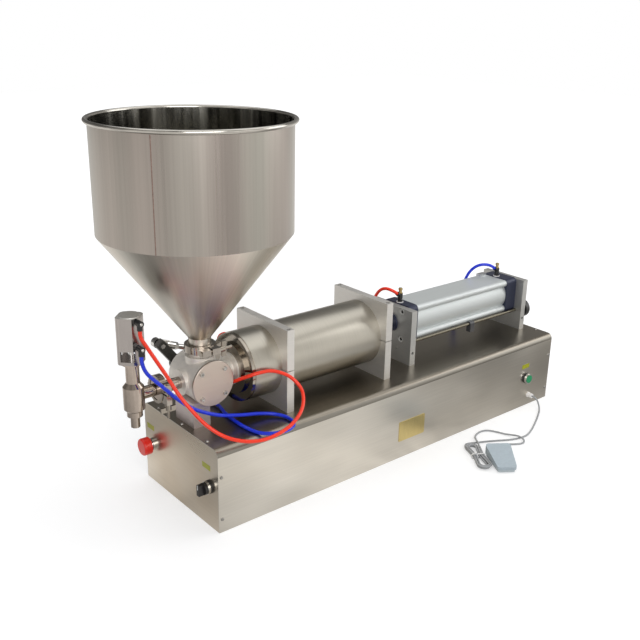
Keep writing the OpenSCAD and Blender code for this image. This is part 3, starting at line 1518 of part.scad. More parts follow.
module nozzle_body() {
    color([0.66, 0.64, 0.61]) difference() {
        union() {
            at_nozzle(tip_z) {
                cylinder(r = tip_d / 2, h = tip_h + over);
                translate([0, 0, tip_h]) cylinder(r = step_d / 2, h = step_h + over);
            }
            at_nozzle(nozzle_low)
                cylinder(r1 = nozzle_d / 2 - nozzle_chamfer, r2 = nozzle_d / 2, h = nozzle_chamfer + over);
            at_nozzle(nozzle_low + nozzle_chamfer)
                cylinder(r = nozzle_d / 2, h = nozzle_high - nozzle_low - nozzle_chamfer);
            at_nozzle(nozzle_high)
                cylinder(r1 = nozzle_d / 2, r2 = nozzle_neck_d / 2, h = nozzle_shoulder);
            at_nozzle(nozzle_high)
                cylinder(r = nozzle_neck_d / 2, h = flange_z - nozzle_high + over);
            at_nozzle(flange_z) cylinder(r = nozzle_d / 2, h = cage_z - flange_z);
            at_nozzle(axis_z) rod_x(pipe_r, outlet_x - nozzle_x);
            translate([outlet_x - ferrule_t, 0, axis_z]) rod_x(ferrule_d / 2, ferrule_t);
        }
        at_nozzle(tip_z - over) cylinder(r = tip_bore_d / 2, h = tip_h + step_h + over);
        at_nozzle(seat_z)
            cylinder(r = seat_d / 2, h = nozzle_low + chamber_floor - seat_z + over);
        at_nozzle(nozzle_low + chamber_floor)
            cylinder(r = chamber_d / 2, h = nozzle_high - nozzle_low - chamber_floor);
        at_nozzle(nozzle_low)
            cylinder(r = stem_d / 2 + run_fit, h = cage_z - nozzle_low + over);
        at_nozzle(axis_z) rod_x(pipe_r - pipe_wall, outlet_x - nozzle_x + over);
    }
}

// A rounded square, turned by half a right angle, with a flat for the ports milled on one corner
module lifter_outline() {
    difference() {
        rotate(45) rounded(lifter_w, lifter_w, lifter_round);
        translate([-lifter_w, -lifter_flat - lifter_w]) square([2 * lifter_w, lifter_w]);
    }
}

module nozzle_cylinder() {
    window_h = lifter_z - cage_z - cage_foot;
    color([0.6, 0.59, 0.57]) difference() {
        union() {
            at_nozzle(cage_z) linear_extrude(height = lifter_z + lifter_h - cage_z) lifter_outline();
            at_nozzle(lifter_z + lifter_h)
                cylinder(r1 = lifter_w / 2 - over, r2 = lifter_w / 2 - dome_h, h = dome_h);
        }
        at_nozzle(cage_z + cage_foot) {
            cylinder(r = lifter_w / 2 - post_wall, h = window_h);
            for (turn = [45, 135])
                rotate(turn) translate([-lifter_w, -window_w / 2, 0])
                    cube([2 * lifter_w, window_w, window_h]);
        }
        at_nozzle(cage_z - over) cylinder(r = stem_d / 2 + run_fit, h = lifter_h);
        at_nozzle(lifter_z + lifter_wall)
            cylinder(r = lifter_bore_d / 2, h = lifter_h - 2 * lifter_wall);
    }
}

module nozzle_stem() {
    color([0.8, 0.8, 0.79]) at_nozzle(0) {
        translate([0, 0, stem_low]) cylinder(r = tip_bore_d / 2 - run_fit, h = plug_h);
        translate([0, 0, stem_low + plug_h - over])
            cylinder(r = stem_d / 2, h = stem_piston_z - stem_low - plug_h + 2 * over);
        translate([0, 0, stem_piston_z]) cylinder(r = lifter_bore_d / 2 - run_fit, h = stem_piston_t);
    }
}

module red_air_hoses() {
    color([0.9, 0.15, 0.08]) {
        sweep(smooth(red_route, 2), hose_d / 2, tube_sides);
        sweep(smooth(red_loop, 2), hose_d / 2, tube_sides);
    }
}

module blue_air_hoses() {
    color([0.1, 0.15, 0.75]) {
        sweep(smooth(blue_route, 2), hose_d / 2, tube_sides);
        sweep(smooth(blue_loop, 2), hose_d / 2, tube_sides);
    }
}

module turning_hoses() {
    color([0.9, 0.15, 0.08]) {
        sweep(smooth(turner_red, 2), thin_hose_d / 2, tube_sides);
        sweep(smooth(turner_blue, 2), thin_hose_d / 2, tube_sides);
    }
}

base_cover();
end_panel_left();
end_panel_right();
base_plate();
cover_screws();
nameplate();
cable_gland();
air_inlet();
air_valve_block();
stop_collar();
stop_head();
selector_collar();
selector_knob();
start_collar();
start_cap();
pedal_base();
pedal_treadle();
pedal_cable();
pedal_hank();
hank_tie();
front_clamp_base();
front_clamp_cap();
rear_clamp_base();
rear_clamp_cap();
plate_screws();
filling_cylinder();
cylinder_cover();
filling_piston();
piston_rod();
air_plate_front();
air_plate_rear();
air_barrel();
air_cap_front();
air_cap_rear();
air_piston();
air_fittings();
reed_sensor();
stroke_screw();
stroke_handwheel();
sensor_slider();
valve_body();
valve_rotor();
valve_front_cover();
valve_cover_screws();
valve_support();
valve_crank();
turning_cylinder();
turning_rod();
turning_bracket();
hopper();
hopper_clamp();
clamp_wing_nuts();
outlet_pipe();
outlet_clamp();
nozzle_body();
nozzle_cylinder();
nozzle_stem();
red_air_hoses();
blue_air_hoses();
turning_hoses();
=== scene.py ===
import math
import bmesh
import bpy
from mathutils import Matrix, Vector


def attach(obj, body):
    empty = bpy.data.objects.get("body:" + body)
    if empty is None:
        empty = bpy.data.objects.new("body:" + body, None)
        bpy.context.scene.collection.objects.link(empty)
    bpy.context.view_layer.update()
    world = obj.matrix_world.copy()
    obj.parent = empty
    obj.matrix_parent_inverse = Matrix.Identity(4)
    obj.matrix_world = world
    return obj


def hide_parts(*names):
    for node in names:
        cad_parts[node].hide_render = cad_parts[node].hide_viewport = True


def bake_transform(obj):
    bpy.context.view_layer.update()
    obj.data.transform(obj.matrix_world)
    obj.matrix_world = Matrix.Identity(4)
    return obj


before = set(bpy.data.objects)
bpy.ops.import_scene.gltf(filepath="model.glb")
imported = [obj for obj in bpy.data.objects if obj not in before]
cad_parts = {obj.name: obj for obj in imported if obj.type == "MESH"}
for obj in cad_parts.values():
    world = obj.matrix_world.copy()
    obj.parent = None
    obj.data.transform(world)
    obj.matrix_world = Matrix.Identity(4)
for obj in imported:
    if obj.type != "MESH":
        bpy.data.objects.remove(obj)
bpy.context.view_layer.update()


# The camera stands off the front left corner, above the machine, as in the photograph. Its
# heading, tilt and roll come from the machine's own straight edges there.
camera_at = (-1.3714, -1.4448, 1.0285)
camera_heading = math.radians(50.11)
camera_tilt = math.radians(-20.0)
camera_roll = math.radians(1.04)
camera = bpy.data.objects.new("camera", bpy.data.cameras.new("camera"))
camera.data.sensor_width = 36.0
camera.data.lens = 48.30
camera.data.clip_start = 0.05
camera.data.clip_end = 60.0
camera.matrix_world = (
    Matrix.Translation(camera_at)
    @ Matrix.Rotation(camera_heading - math.pi / 2, 4, "Z")
    @ Matrix.Rotation(math.pi / 2 + camera_tilt, 4, "X")
    @ Matrix.Rotation(camera_roll, 4, "Z")
)
bpy.context.scene.collection.objects.link(camera)
bpy.context.scene.camera = camera


# Pedal cable: 1.7 m of round grey cable, 4.5 mm thick, from the gland on the base's front to the
# pedal. The spare length is folded into a hank of four loops, held by a white tie. The route and
# the hank's shape are the CAD model's own.
MM = 0.001


def spread(tree, value, low, high, to_low, to_high):
    """A value of a node tree, taken from one range to another and kept inside it."""
    ranged = tree.nodes.new("ShaderNodeMapRange")
    limits = {"From Min": low, "From Max": high, "To Min": to_low, "To Max": to_high}
    for name, limit in limits.items():
        ranged.inputs[name].default_value = limit
    tree.links.new(value, ranged.inputs["Value"])
    return ranged.outputs["Result"]


def surface(name, colour, metal, rough, grain, shade=0.05, depth=0.0, cloud=0.0, sheen=0.0,
            broad=(5, 5, 5), second=None, upright_at=None):
    """A finish. Its colour and gloss vary by shade along a stretched grain, and by cloud in broad
    patches that may lean to a second colour. Depth is the height of the grain in metres. Round
    an upright axis, grain and patches run up and down."""
    made = bpy.data.materials.new(name)
    made.use_nodes = True
    tree = made.node_tree
    link = tree.links.new
    shader = tree.nodes["Principled BSDF"]
    shader.inputs["Metallic"].default_value = metal
    shader.inputs["Coat Weight"].default_value = sheen
    shader.inputs["Coat Roughness"].default_value = 0.08
    place = tree.nodes.new("ShaderNodeTexCoord").outputs["Object"]
    if upright_at:
        arm = tree.nodes.new("ShaderNodeVectorMath")
        arm.operation = "SUBTRACT"
        arm.inputs[1].default_value = (*upright_at, 0)
        flat = tree.nodes.new("ShaderNodeVectorMath")
        flat.operation = "MULTIPLY"
        flat.inputs[1].default_value = (1, 1, 0)
        way = tree.nodes.new("ShaderNodeVectorMath")
        way.operation = "NORMALIZE"
        rise = tree.nodes.new("ShaderNodeVectorMath")
        rise.operation = "MULTIPLY_ADD"
        rise.inputs[1].default_value = (0, 0, 1)
        link(place, arm.inputs[0])
        link(arm.outputs["Vector"], flat.inputs[0])
        link(flat.outputs["Vector"], way.inputs[0])
        link(place, rise.inputs[0])
        link(way.outputs["Vector"], rise.inputs[2])
        place = rise.outputs["Vector"]

    def noise(scale, detail, low, high):
        stretch = tree.nodes.new("ShaderNodeMapping")
        stretch.inputs["Scale"].default_value = scale
        spots = tree.nodes.new("ShaderNodeTexNoise")
        spots.inputs["Scale"].default_value = 1.0
        spots.inputs["Detail"].default_value = detail
        link(place, stretch.inputs["Vector"])
        link(stretch.outputs["Vector"], spots.inputs["Vector"])
        return spots.outputs["Fac"], spread(tree, spots.outputs["Fac"], 0.3, 0.7, low, high)

    lines, fine = noise(grain, 3.0, 1.0 - shade, 1.0 + shade)
    wide = noise(broad, 2.0, 1.0 - cloud, 1.0 + cloud)[1]
    level = tree.nodes.new("ShaderNodeMath")
    level.operation = "MULTIPLY"
    link(fine, level.inputs[0])
    link(wide, level.inputs[1])
    paint = tree.nodes.new("ShaderNodeVectorMath")
    paint.operation = "SCALE"
    paint.inputs[0].default_value = colour
    if second:
        lean = tree.nodes.new("ShaderNodeMix")
        lean.data_type = "RGBA"
        lean.inputs["A"].default_value = (*colour, 1)
        lean.inputs["B"].default_value = (*second, 1)
        link(noise([0.73 * side for side in broad], 1.0, 0.0, 1.0)[1], lean.inputs["Factor"])
        link(lean.outputs["Result"], paint.inputs[0])
    link(level.outputs["Value"], paint.inputs["Scale"])
    link(paint.outputs["Vector"], shader.inputs["Base Color"])
    gloss = tree.nodes.new("ShaderNodeMath")
    gloss.operation = "MULTIPLY"
    gloss.inputs[1].default_value = rough
    link(level.outputs["Value"], gloss.inputs[0])
    link(gloss.outputs["Value"], shader.inputs["Roughness"])
    if depth:
        relief = tree.nodes.new("ShaderNodeBump")
        relief.inputs["Strength"].default_value = 0.6
        relief.inputs["Distance"].default_value = depth
        link(lines, relief.inputs["Height"])
        link(relief.outputs["Normal"], shader.inputs["Normal"])
    return made


def smooth_line(route, steps):
    """Points of the smooth curve through a route in millimetres, in metres."""
    line = []
    for i in range(len(route) - 1):
        a = Vector(route[max(i - 1, 0)])
        b = Vector(route[i])
        c = Vector(route[i + 1])
        d = Vector(route[min(i + 2, len(route) - 1)])
        for j in range(steps):
            t = j / steps
            bend = (2 * a - 5 * b + 4 * c - d) * t * t + (3 * b - a - 3 * c + d) * t * t * t
            line.append((b + ((c - a) * t + bend) / 2) * MM)
    line.append(Vector(route[-1]) * MM)
    return line


def tube(name, line, thickness, finish):
    """A round tube along a line of points."""
    drawn = bpy.data.curves.new(name, "CURVE")
    drawn.dimensions = "3D"
    drawn.bevel_depth = thickness / 2
    drawn.bevel_resolution = 4
    drawn.use_fill_caps = True
    spline = drawn.splines.new("POLY")
    spline.points.add(len(line) - 1)
    for point, place in zip(spline.points, line):
        point.co = (*place, 1.0)
    drawn.materials.append(finish)
    made = bpy.data.objects.new(name, drawn)
    bpy.context.scene.collection.objects.link(made)
    return made


cable_d = 4.5
gland_end = Vector((466, -165, 30))
hank_middle = Vector((122, -269.5, 0))
hank_turn = math.radians(60)
hank_along = Vector((math.cos(hank_turn), math.sin(hank_turn), 0))
hank_across = Vector((-math.sin(hank_turn), math.cos(hank_turn), 0))
turn_rings, run_rings, climb_rings = 8, 4, 4
half_loop = turn_rings + run_rings
hank_loops, hank_rings, hank_start = 4, 2 * half_loop, turn_rings
hank_half, hank_inner, hank_step, hank_draw = 42.0, 8.0, 5.2, 5.0
hank_low, hank_layer = 3.5, 5.1
hank_climb = half_loop * hank_loops - climb_rings


def hank_point(count):
    """Middle of the cable at one ring of the hank: two half turns and two runs to each loop, two
    loops wound inwards, then two outwards on top of them."""
    out = hank_climb - count if count < hank_climb else max(count - hank_climb - climb_rings, 0)
    radius = hank_inner + hank_step * out / hank_rings
    height = hank_low + hank_layer * min(max((count - hank_climb) / climb_rings, 0), 1)
    side = 1 if count % hank_rings < half_loop else -1
    step = count % half_loop
    if step < turn_rings:
        angle = math.radians(180 * step / turn_rings - 90 * side)
        x, y = side * hank_half + radius * math.cos(angle), radius * math.sin(angle)
    else:
        x = side * hank_half * (1 - 2 * (step - turn_rings) / run_rings)
        y = side * (radius - hank_draw * (1 + math.cos(math.pi * x / hank_half)) / 2)
    return hank_middle + hank_along * x + hank_across * y + Vector((0, 0, height))


hank_points = [hank_point(count) for count in range(hank_start, hank_rings * hank_loops + 1)]
pedal_middle = Vector((148, -322, 9))
pedal_turn = math.radians(55)
pedal_along = Vector((math.cos(pedal_turn), math.sin(pedal_turn), 0))
pedal_half, pedal_plug = 46, 10
pedal_end = pedal_middle + pedal_along * (pedal_half + pedal_plug)
cable_in = [
    (466, -174, 29), (466, -184, 23), (464, -192, 12), (458, -199, 4),
    (444, -208, 2.5), (405, -230, 2.5), (350, -257, 2.5), (312, -270, 2.5), (282, -268, 2.5),
    (254, -258, 2.5), (226, -242, 2.5), (202, -229, 2.5), (180, -219, 2.5), (164, -211, 2.5),
    (152, -207, 2.5), (143, -210, 3),
]
cable_out = [
    (171, -227, 8.4), (178, -216, 8), (185, -207, 6.5), (194, -198, 4), (206, -190, 2.5),
    (222, -185, 2.5), (240, -185, 2.5),
    (254, -194, 2.5), (264, -212, 2.5), (271, -232, 3), (277, -250, 5.5), (281, -266, 8),
    (282, -280, 6), (276, -289, 3), (263, -290, 2.5), (246, -281, 2.5), (230, -269, 2.5),
    (214, -259, 2.5), (202, -256, 3), (192, -260, 5),
]
hank_lead = hank_along * (1.4 * cable_d)
gland_lead = Vector((0, cable_d, 0))
pedal_lead = pedal_along * cable_d
cable_line = (
    smooth_line([gland_end, gland_end - gland_lead, *cable_in, hank_points[0] + hank_lead], 5)
    + smooth_line(hank_points, 3)
    + smooth_line([hank_points[-1] + hank_lead, *cable_out, pedal_end + pedal_lead, pedal_end], 5)
)
cable_grey = surface("cable_grey", (0.36, 0.37, 0.38), 0.0, 0.42, (60, 60, 60), 0.04, 0.00003)
cable = tube("control_cable", cable_line, cable_d * MM, cable_grey)
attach(cable, "base")
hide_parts("pedal_cable", "pedal_hank")


# Tie: a white nylon strap drawn round the hank's waist, with its square locking head on top and
# its tail cut short.
def solid(name, build, *finishes):
    """An object whose mesh is drawn by build(bmesh)."""
    mesh = bpy.data.meshes.new(name)
    shape = bmesh.new()
    build(shape)
    bmesh.ops.recalc_face_normals(shape, faces=shape.faces)
    shape.to_mesh(mesh)
    shape.free()
    for finish in finishes:
        mesh.materials.append(finish)
    made = bpy.data.objects.new(name, mesh)
    bpy.context.scene.collection.objects.link(made)
    return made


def shade_smooth(piece, angle=35):
    """Smooth shading, with edges sharper than the angle kept."""
    piece.data.polygons.foreach_set("use_smooth", [True] * len(piece.data.polygons))
    piece.data.set_sharp_from_angle(angle=math.radians(angle))


def block(shape, low, high, turn=None):
    """One box between two corners."""
    low, high = Vector(low), Vector(high)
    made = bmesh.ops.create_cube(shape, size=1.0)["verts"]
    for corner in made:
        corner.co = (low + high) / 2 + Vector(c * s for c, s in zip(corner.co, high - low))
        if turn is not None:
            corner.co = turn @ corner.co
    return made


def round_edges(piece, width, segments=2, angle=35):
    """Rounds a piece's edges with a narrow bevel."""
    edge = piece.modifiers.new("rounded edges", "BEVEL")
    edge.width = width
    edge.segments = segments
    edge.limit_method = "ANGLE"
    edge.angle_limit = math.radians(angle)


tie_half, tie_low, tie_high = 16.8, 1.1, 11.0
tie_w, tie_t, tie_corner, tie_steps = 4.0, 1.0, 3.6, 4
tie_head = Vector((-2.8, 4, 12.1)), Vector((2.8, 10, 16.4))
tie_tail = Vector((-2, 10, 13.6)), Vector((2, 14.5, 14.7))
hank_place = Matrix.Translation(hank_middle * MM) @ Matrix.Rotation(hank_turn, 4, "Z")


def draw_tie(shape):
    rings = []
    for grow in (0.0, tie_t):
        ring = []
        for sy, sz, start in ((1, 1, 0), (-1, 1, 90), (-1, -1, 180), (1, -1, 270)):
            for step in range(tie_steps + 1):
                a = math.radians(start + step * 90 / tie_steps)
                y = sy * (tie_half - tie_corner) + (tie_corner + grow) * math.cos(a)
                z = (tie_low + tie_high) / 2 + sz * ((tie_high - tie_low) / 2 - tie_corner)
                ring.append((y, z + (tie_corner + grow) * math.sin(a)))
        rings.append(ring)
    count = len(rings[0])
    made = [
        [shape.verts.new(hank_place @ (Vector((x, y, z)) * MM)) for y, z in ring]
        for x in (-tie_w / 2, tie_w / 2) for ring in rings
    ]
    for i in range(count):
        j = (i + 1) % count
        for a, b in ((0, 1), (1, 3), (3, 2), (2, 0)):
            shape.faces.new((made[a][i], made[a][j], made[b][j], made[b][i]))
    for low, high in (tie_head, tie_tail):
        block(shape, low * MM, high * MM, hank_place)


tie_white = surface("tie_white", (0.8, 0.8, 0.79), 0.0, 0.35, (300, 300, 300), 0.03, 0.00002)
tie = solid("cable_tie", draw_tie, tie_white)
round_edges(tie, 0.0003)
shade_smooth(tie)
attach(tie, "base")
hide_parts("hank_tie")


# Air hoses of the nozzle's lifting cylinder: red and blue polyurethane hose, 8 mm thick, from the
# two elbows down to the top of the base. They leave the elbows straight down, sweep round the
# front of the valve and end in push-in bulkhead fittings behind it.
hose_d = 8 * MM
red_route = [
    (-649, -42, 439.5), (-649, -42, 436.5), (-649, -42, 433.5), (-648.7, -42.2, 429),
    (-647.6, -42.8, 423.4), (-644.9, -44.5, 416.6), (-640.7, -46.9, 408), (-635.4, -50.1, 396.8),
    (-628.4, -54.2, 382.4), (-619.3, -59.6, 363.5), (-608.5, -66, 341), (-594, -82, 305),
    (-580, -103, 276), (-562, -134, 246), (-534, -158, 222), (-493, -172, 205), (-446, -180, 200),
    (-390, -178, 209), (-343, -160, 228), (-320, -131, 254), (-333, -105, 281), (-368, -92, 299),
    (-400, -88, 302), (-419, -78, 296.5), (-431, -62, 287), (-437, -45, 277), (-440, -23, 268),
    (-441, 2, 259), (-441, 24, 250.5), (-439.8, 40, 244.5), (-438.8, 48.5, 240), (-437.8, 57, 233),
    (-437.2, 62.2, 224), (-437, 64, 214), (-437, 64, 209), (-437, 64, 204),
]
blue_route = [
    (-649, -42, 386.5), (-649, -42, 383.5), (-649, -42, 380.5), (-648.9, -42, 376.5),
    (-648.3, -42.2, 371.4), (-647, -42.5, 364.8), (-644.3, -43.1, 356.5), (-639.1, -44.3, 346.5),
    (-629.9, -46.5, 335), (-617.2, -49.4, 320.9), (-602, -53, 304), (-573, -59, 272),
    (-537, -62, 244), (-489, -66, 221), (-440, -72, 209), (-398, -78, 202), (-368, -90, 197),
    (-352, -112, 195), (-352, -139, 195), (-368, -163, 197), (-394, -172, 198), (-421, -164, 197),
    (-440, -140, 194.5), (-449, -100, 194.5), (-449, -60, 194.5), (-446, -25, 194.5),
    (-440.5, 1, 195.5), (-437.5, 14, 196), (-437, 30, 196), (-437, 35, 196), (-437, 40, 196),
]


def polyurethane(name, colour):
    """Glossy, slightly see-through hose plastic."""
    made = surface(name, colour, 0.0, 0.3, (25, 25, 25), 0.05, 0.00002, 0.03, 0.12)
    shader = made.node_tree.nodes["Principled BSDF"]
    shader.inputs["Subsurface Weight"].default_value = 0.08
    shader.inputs["Subsurface Radius"].default_value = (0.004, 0.001, 0.001)
    shader.inputs["Subsurface Scale"].default_value = 0.5
    return made


def air_hose(name, route, colour):
    """One free air hose of a colour, with both ends on the machine."""
    finish = hose_finish[colour]
    line = smooth_line(route, 6)
    made = tube(name, line, hose_d, finish)
    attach(made, "base")
    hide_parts(colour + "_air_hoses")


hose_finish = {
    "red": polyurethane("red_hose", (0.98, 0.033, 0.004)),
    "blue": polyurethane("blue_hose", (0.006, 0.035, 0.74)),
}
air_hose("nozzle_hose_red", red_route, "red")
air_hose("nozzle_hose_blue", blue_route, "blue")


# Air hoses of the air cylinder: one short loop from each flow control, over the barrel's far side
# and down into a bulkhead fitting on the base.
red_loop = [
    (86.03, 0, 359.03), (83.57, 0, 360.75), (81.12, 0, 362.47), (77.7, 0.4, 364.8),
    (73.6, 2.4, 367.4), (69.6, 6.6, 369.9), (66.8, 12.3, 371.3), (65.1, 19, 371.1),
    (64.1, 26, 369.2), (63.6, 33, 365.7), (63.5, 40, 360.2), (63.9, 47.1, 353), (64.2, 54.5, 342),
    (63.9, 61.5, 328), (63, 68.5, 311), (61.6, 76, 290), (60, 83, 266), (58.6, 88, 242),
    (58, 90, 225), (58, 90, 214), (58, 90, 209), (58, 90, 204),
]
blue_loop = [
    (461.53, 0, 359.03), (459.07, 0, 360.75), (456.62, 0, 362.47), (453.2, 0.3, 364.8),
    (448.7, 1.7, 367.5), (443, 4.8, 369.8), (436.9, 9.2, 371.2), (430.9, 14.4, 371.3),
    (425.2, 20.2, 369.8), (420.2, 26.5, 366.6), (415.7, 32.8, 361.2), (411.6, 39.6, 353),
    (408.4, 46.1, 342), (406, 51.8, 328), (404.5, 57.8, 310), (403, 64, 288), (401.5, 70.5, 264),
    (400.4, 75.8, 240), (400, 77.7, 228), (400, 78, 214), (400, 78, 209), (400, 78, 204),
]
air_hose("cylinder_hose_red", red_loop, "red")
air_hose("cylinder_hose_blue", blue_loop, "blue")


# Hoses of the turning cylinder: 6 mm hose from its two ports to the base, behind the machine.
# The real hoses bend a little when the cylinder swings; these are fixed.
thin_hose_d = 6 * MM
turner_red = [
    (-372.67, 116, 305.01), (-371.57, 116, 307.8), (-370.48, 116, 310.59), (-369.3, 115.8, 313.4),
    (-366.7, 114.6, 317.3), (-362.5, 111.8, 320.6), (-357.4, 107.8, 322), (-352.2, 103.1, 320.7),
    (-347.7, 98.6, 316.4), (-344.3, 94.6, 309.5), (-342.1, 91.2, 299.5), (-341.3, 88.7, 286),
    (-342.3, 87.2, 268), (-345.5, 86.2, 248), (-348, 86, 230), (-348, 86, 214), (-348, 86, 209),
    (-348, 86, 204),
]
turner_blue = [
    (-241.42, 116, 253.49), (-240.32, 116, 256.28), (-239.23, 116, 259.07), (-238.2, 115.8, 261.1),
    (-235.7, 114.6, 265), (-231.5, 111.8, 268.3), (-226.4, 107.8, 269.7), (-221.2, 103.1, 268.4),
    (-216.3, 98.6, 263.9), (-212, 94.3, 256), (-208.3, 90.4, 245), (-205.8, 87.5, 232),
    (-205, 86, 218), (-205, 86, 214), (-205, 86, 209), (-205, 86, 204),
]
for colour, route in (("red", turner_red), ("blue", turner_blue)):
    name = "turning_hose_" + colour
    line = smooth_line(route, 6)
    drawn = tube(name + "_line", line, thin_hose_d, hose_finish[colour])
    bpy.context.view_layer.update()
    bent = drawn.evaluated_get(bpy.context.evaluated_depsgraph_get())
    mesh = bpy.data.meshes.new_from_object(bent)
    bpy.data.objects.remove(drawn)
    hose = bpy.data.objects.new(name, mesh)
    bpy.context.scene.collection.objects.link(hose)
    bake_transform(hose)
    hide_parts("turning_hoses")


# Studio: a plain pale floor, a white surround, and three soft lamps: one large overhead, one at
# the front left and one at the right. The steel mirrors a floor with painted shadow beside the
# machine and two painted pools of light, and a room that is pale in front and darker behind.
def sphere_round(tree, place, middle, reach):
    """One at a point of the floor, falling to nothing at its reach."""
    shift = tree.nodes.new("ShaderNodeVectorMath")
    shift.operation = "SUBTRACT"
    shift.inputs[1].default_value = middle
    size = tree.nodes.new("ShaderNodeVectorMath")
    size.operation = "SCALE"
    size.inputs["Scale"].default_value = 1.0 / reach
    fall = tree.nodes.new("ShaderNodeTexGradient")
    fall.gradient_type = "SPHERICAL"
    tree.links.new(place, shift.inputs[0])
    tree.links.new(shift.outputs["Vector"], size.inputs[0])
    tree.links.new(size.outputs["Vector"], fall.inputs["Vector"])
    return fall.outputs["Fac"]


def sums(tree, operation, *terms):
    """The terms put together two at a time."""
    total = terms[0]
    for term in terms[1:]:
        step = tree.nodes.new("ShaderNodeMath")
        step.operation = operation
        for socket, value in zip(step.inputs, (total, term)):
            if isinstance(value, float):
                socket.default_value = value
            else:
                tree.links.new(value, socket)
        total = step.outputs["Value"]
    return total


floor_paper = bpy.data.materials.new("floor_paper")
floor_paper.use_nodes = True
tree = floor_paper.node_tree
shader = tree.nodes["Principled BSDF"]
shader.inputs["Roughness"].default_value = 0.9
shader.inputs["Specular IOR Level"].default_value = 0.1
shader.inputs["Base Color"].default_value = (0.62, 0.62, 0.62, 1)
shader.inputs["Emission Color"].default_value = (1, 1, 1, 1)
path = tree.nodes.new("ShaderNodeLightPath")
place = tree.nodes.new("ShaderNodeTexCoord").outputs["Object"]
far_glow, near_glow, near_reach = 0.85, 0.42, 3.2
near = sphere_round(tree, place, (0, 0, 0), near_reach)
glow = spread(tree, near, 0.0, 1.0, far_glow, near_glow)
seen = sums(tree, "MAXIMUM", path.outputs["Is Camera Ray"], path.outputs["Is Transmission Ray"])
tree.links.new(sums(tree, "MULTIPLY", seen, glow), shader.inputs["Emission Strength"])
around = tree.nodes.new("ShaderNodeVectorMath")
around.operation = "NORMALIZE"
mottle = tree.nodes.new("ShaderNodeTexNoise")
mottle.inputs["Scale"].default_value = 2.6
mottle.inputs["Detail"].default_value = 1.5
tree.links.new(place, around.inputs[0])
tree.links.new(around.outputs["Vector"], mottle.inputs["Vector"])
bands = spread(tree, mottle.outputs["Fac"], 0.35, 0.65, 0.78, 1.0)
# Painted shadow of the machine on the mirrored floor, to each side, and two painted pools of light.
right_painted_shadow, left_painted_shadow, left_painted_light, front_painted_light = (
    sums(tree, "MULTIPLY", sphere_round(tree, place, middle, reach), strength)
    for middle, reach, strength in (
        ((0.75, -0.4, 0), 0.8, 0.85), ((-0.9, 0.1, 0), 0.8, 0.85),
        ((-0.6, 0.2, 0), 0.2, 0.8), ((-0.3, -0.3, 0), 0.45, 0.35),
    )
)
mirrored = tree.nodes.new("ShaderNodeEmission")
mirrored.inputs["Color"].default_value = (1.0, 0.97, 0.93, 1)
floor_painted_shadow = sums(tree, "SUBTRACT", 1.0, right_painted_shadow, left_painted_shadow)
floor_tone = sums(tree, "ADD", floor_painted_shadow, left_painted_light, front_painted_light)
tree.links.new(sums(tree, "MULTIPLY", floor_tone, bands), mirrored.inputs["Strength"])
floor_mix = tree.nodes.new("ShaderNodeMixShader")
tree.links.new(path.outputs["Is Glossy Ray"], floor_mix.inputs["Fac"])
tree.links.new(shader.outputs["BSDF"], floor_mix.inputs[1])
tree.links.new(mirrored.outputs["Emission"], floor_mix.inputs[2])
tree.links.new(floor_mix.outputs["Shader"], tree.nodes["Material Output"].inputs["Surface"])
floor_half, floor_drop = 9.0, 0.0003


def draw_floor(shape):
    bmesh.ops.create_grid(shape, x_segments=1, y_segments=1, size=floor_half)


floor = solid("studio_floor", draw_floor, floor_paper)
floor.location.z = -floor_drop

for name, place, aim, width, height, power in (
    ("lamp_above", (0.2, 0.3, 2.6), (0, 0, 0.3), 3.6, 2.6, 29),
    ("lamp_front_left", (-1.5, -2.9, 1.9), (0, 0, 0.3), 2.2, 2.2, 44),
    ("lamp_right", (2.8, -1.4, 1.6), (0.1, 0, 0.3), 2.0, 2.2, 26),
):
    light = bpy.data.lights.new(name, "AREA")
    light.shape = "RECTANGLE"
    light.size, light.size_y = width, height
    light.energy = power
    lamp = bpy.data.objects.new(name, light)
    lamp.location = place
    lamp.rotation_euler = (Vector(aim) - Vector(place)).to_track_quat("-Z", "Y").to_euler()
    bpy.context.scene.collection.objects.link(lamp)

bpy.context.scene.view_settings.view_transform = "Standard"
world = bpy.data.worlds.new("studio")
bpy.context.scene.world = world
world.use_nodes = True
tree = world.node_tree
room = tree.nodes["Background"]
room.inputs["Color"].default_value = (0.97, 0.98, 1.0, 1)
room.inputs["Strength"].default_value = 0.45
white = tree.nodes.new("ShaderNodeBackground")
white.inputs["Color"].default_value = (1, 1, 1, 1)
path = tree.nodes.new("ShaderNodeLightPath")
aim = tree.nodes.new("ShaderNodeTexCoord")
height = tree.nodes.new("ShaderNodeSeparateXYZ")
shade = tree.nodes.new("ShaderNodeValToRGB")
room_tones = (0.0, (1, 0.98, 0.95)), (0.3, (0.74, 0.72, 0.69)), (0.65, (0.55, 0.53, 0.50))
for position, tone in room_tones:
    stop = shade.color_ramp.elements.new(position) if position else shade.color_ramp.elements[0]
    stop.color = (*tone, 1)
top_tone = (0.4, 0.39, 0.37)
shade.color_ramp.elements[-1].color = (*top_tone, 1)
dark = tree.nodes.new("ShaderNodeBackground")
glossy = tree.nodes.new("ShaderNodeMixShader")
choice = tree.nodes.new("ShaderNodeMixShader")
tree.links.new(aim.outputs["Generated"], height.inputs["Vector"])
tree.links.new(height.outputs["Z"], shade.inputs["Fac"])
upright = tree.nodes.new("ShaderNodeMapping")
upright.inputs["Scale"].default_value = (2.6, 2.6, 0.3)
drapes = tree.nodes.new("ShaderNodeTexNoise")
drapes.inputs["Scale"].default_value = 1.0
tree.links.new(aim.outputs["Generated"], upright.inputs["Vector"])
tree.links.new(upright.outputs["Vector"], drapes.inputs["Vector"])
front_to_back = spread(tree, height.outputs["Y"], -1.0, 0.8, 1.3, 0.22)
folds = spread(tree, drapes.outputs["Fac"], 0.35, 0.65, 0.6, 1.2)
tree.links.new(shade.outputs["Color"], dark.inputs["Color"])
tree.links.new(sums(tree, "MULTIPLY", front_to_back, folds), dark.inputs["Strength"])
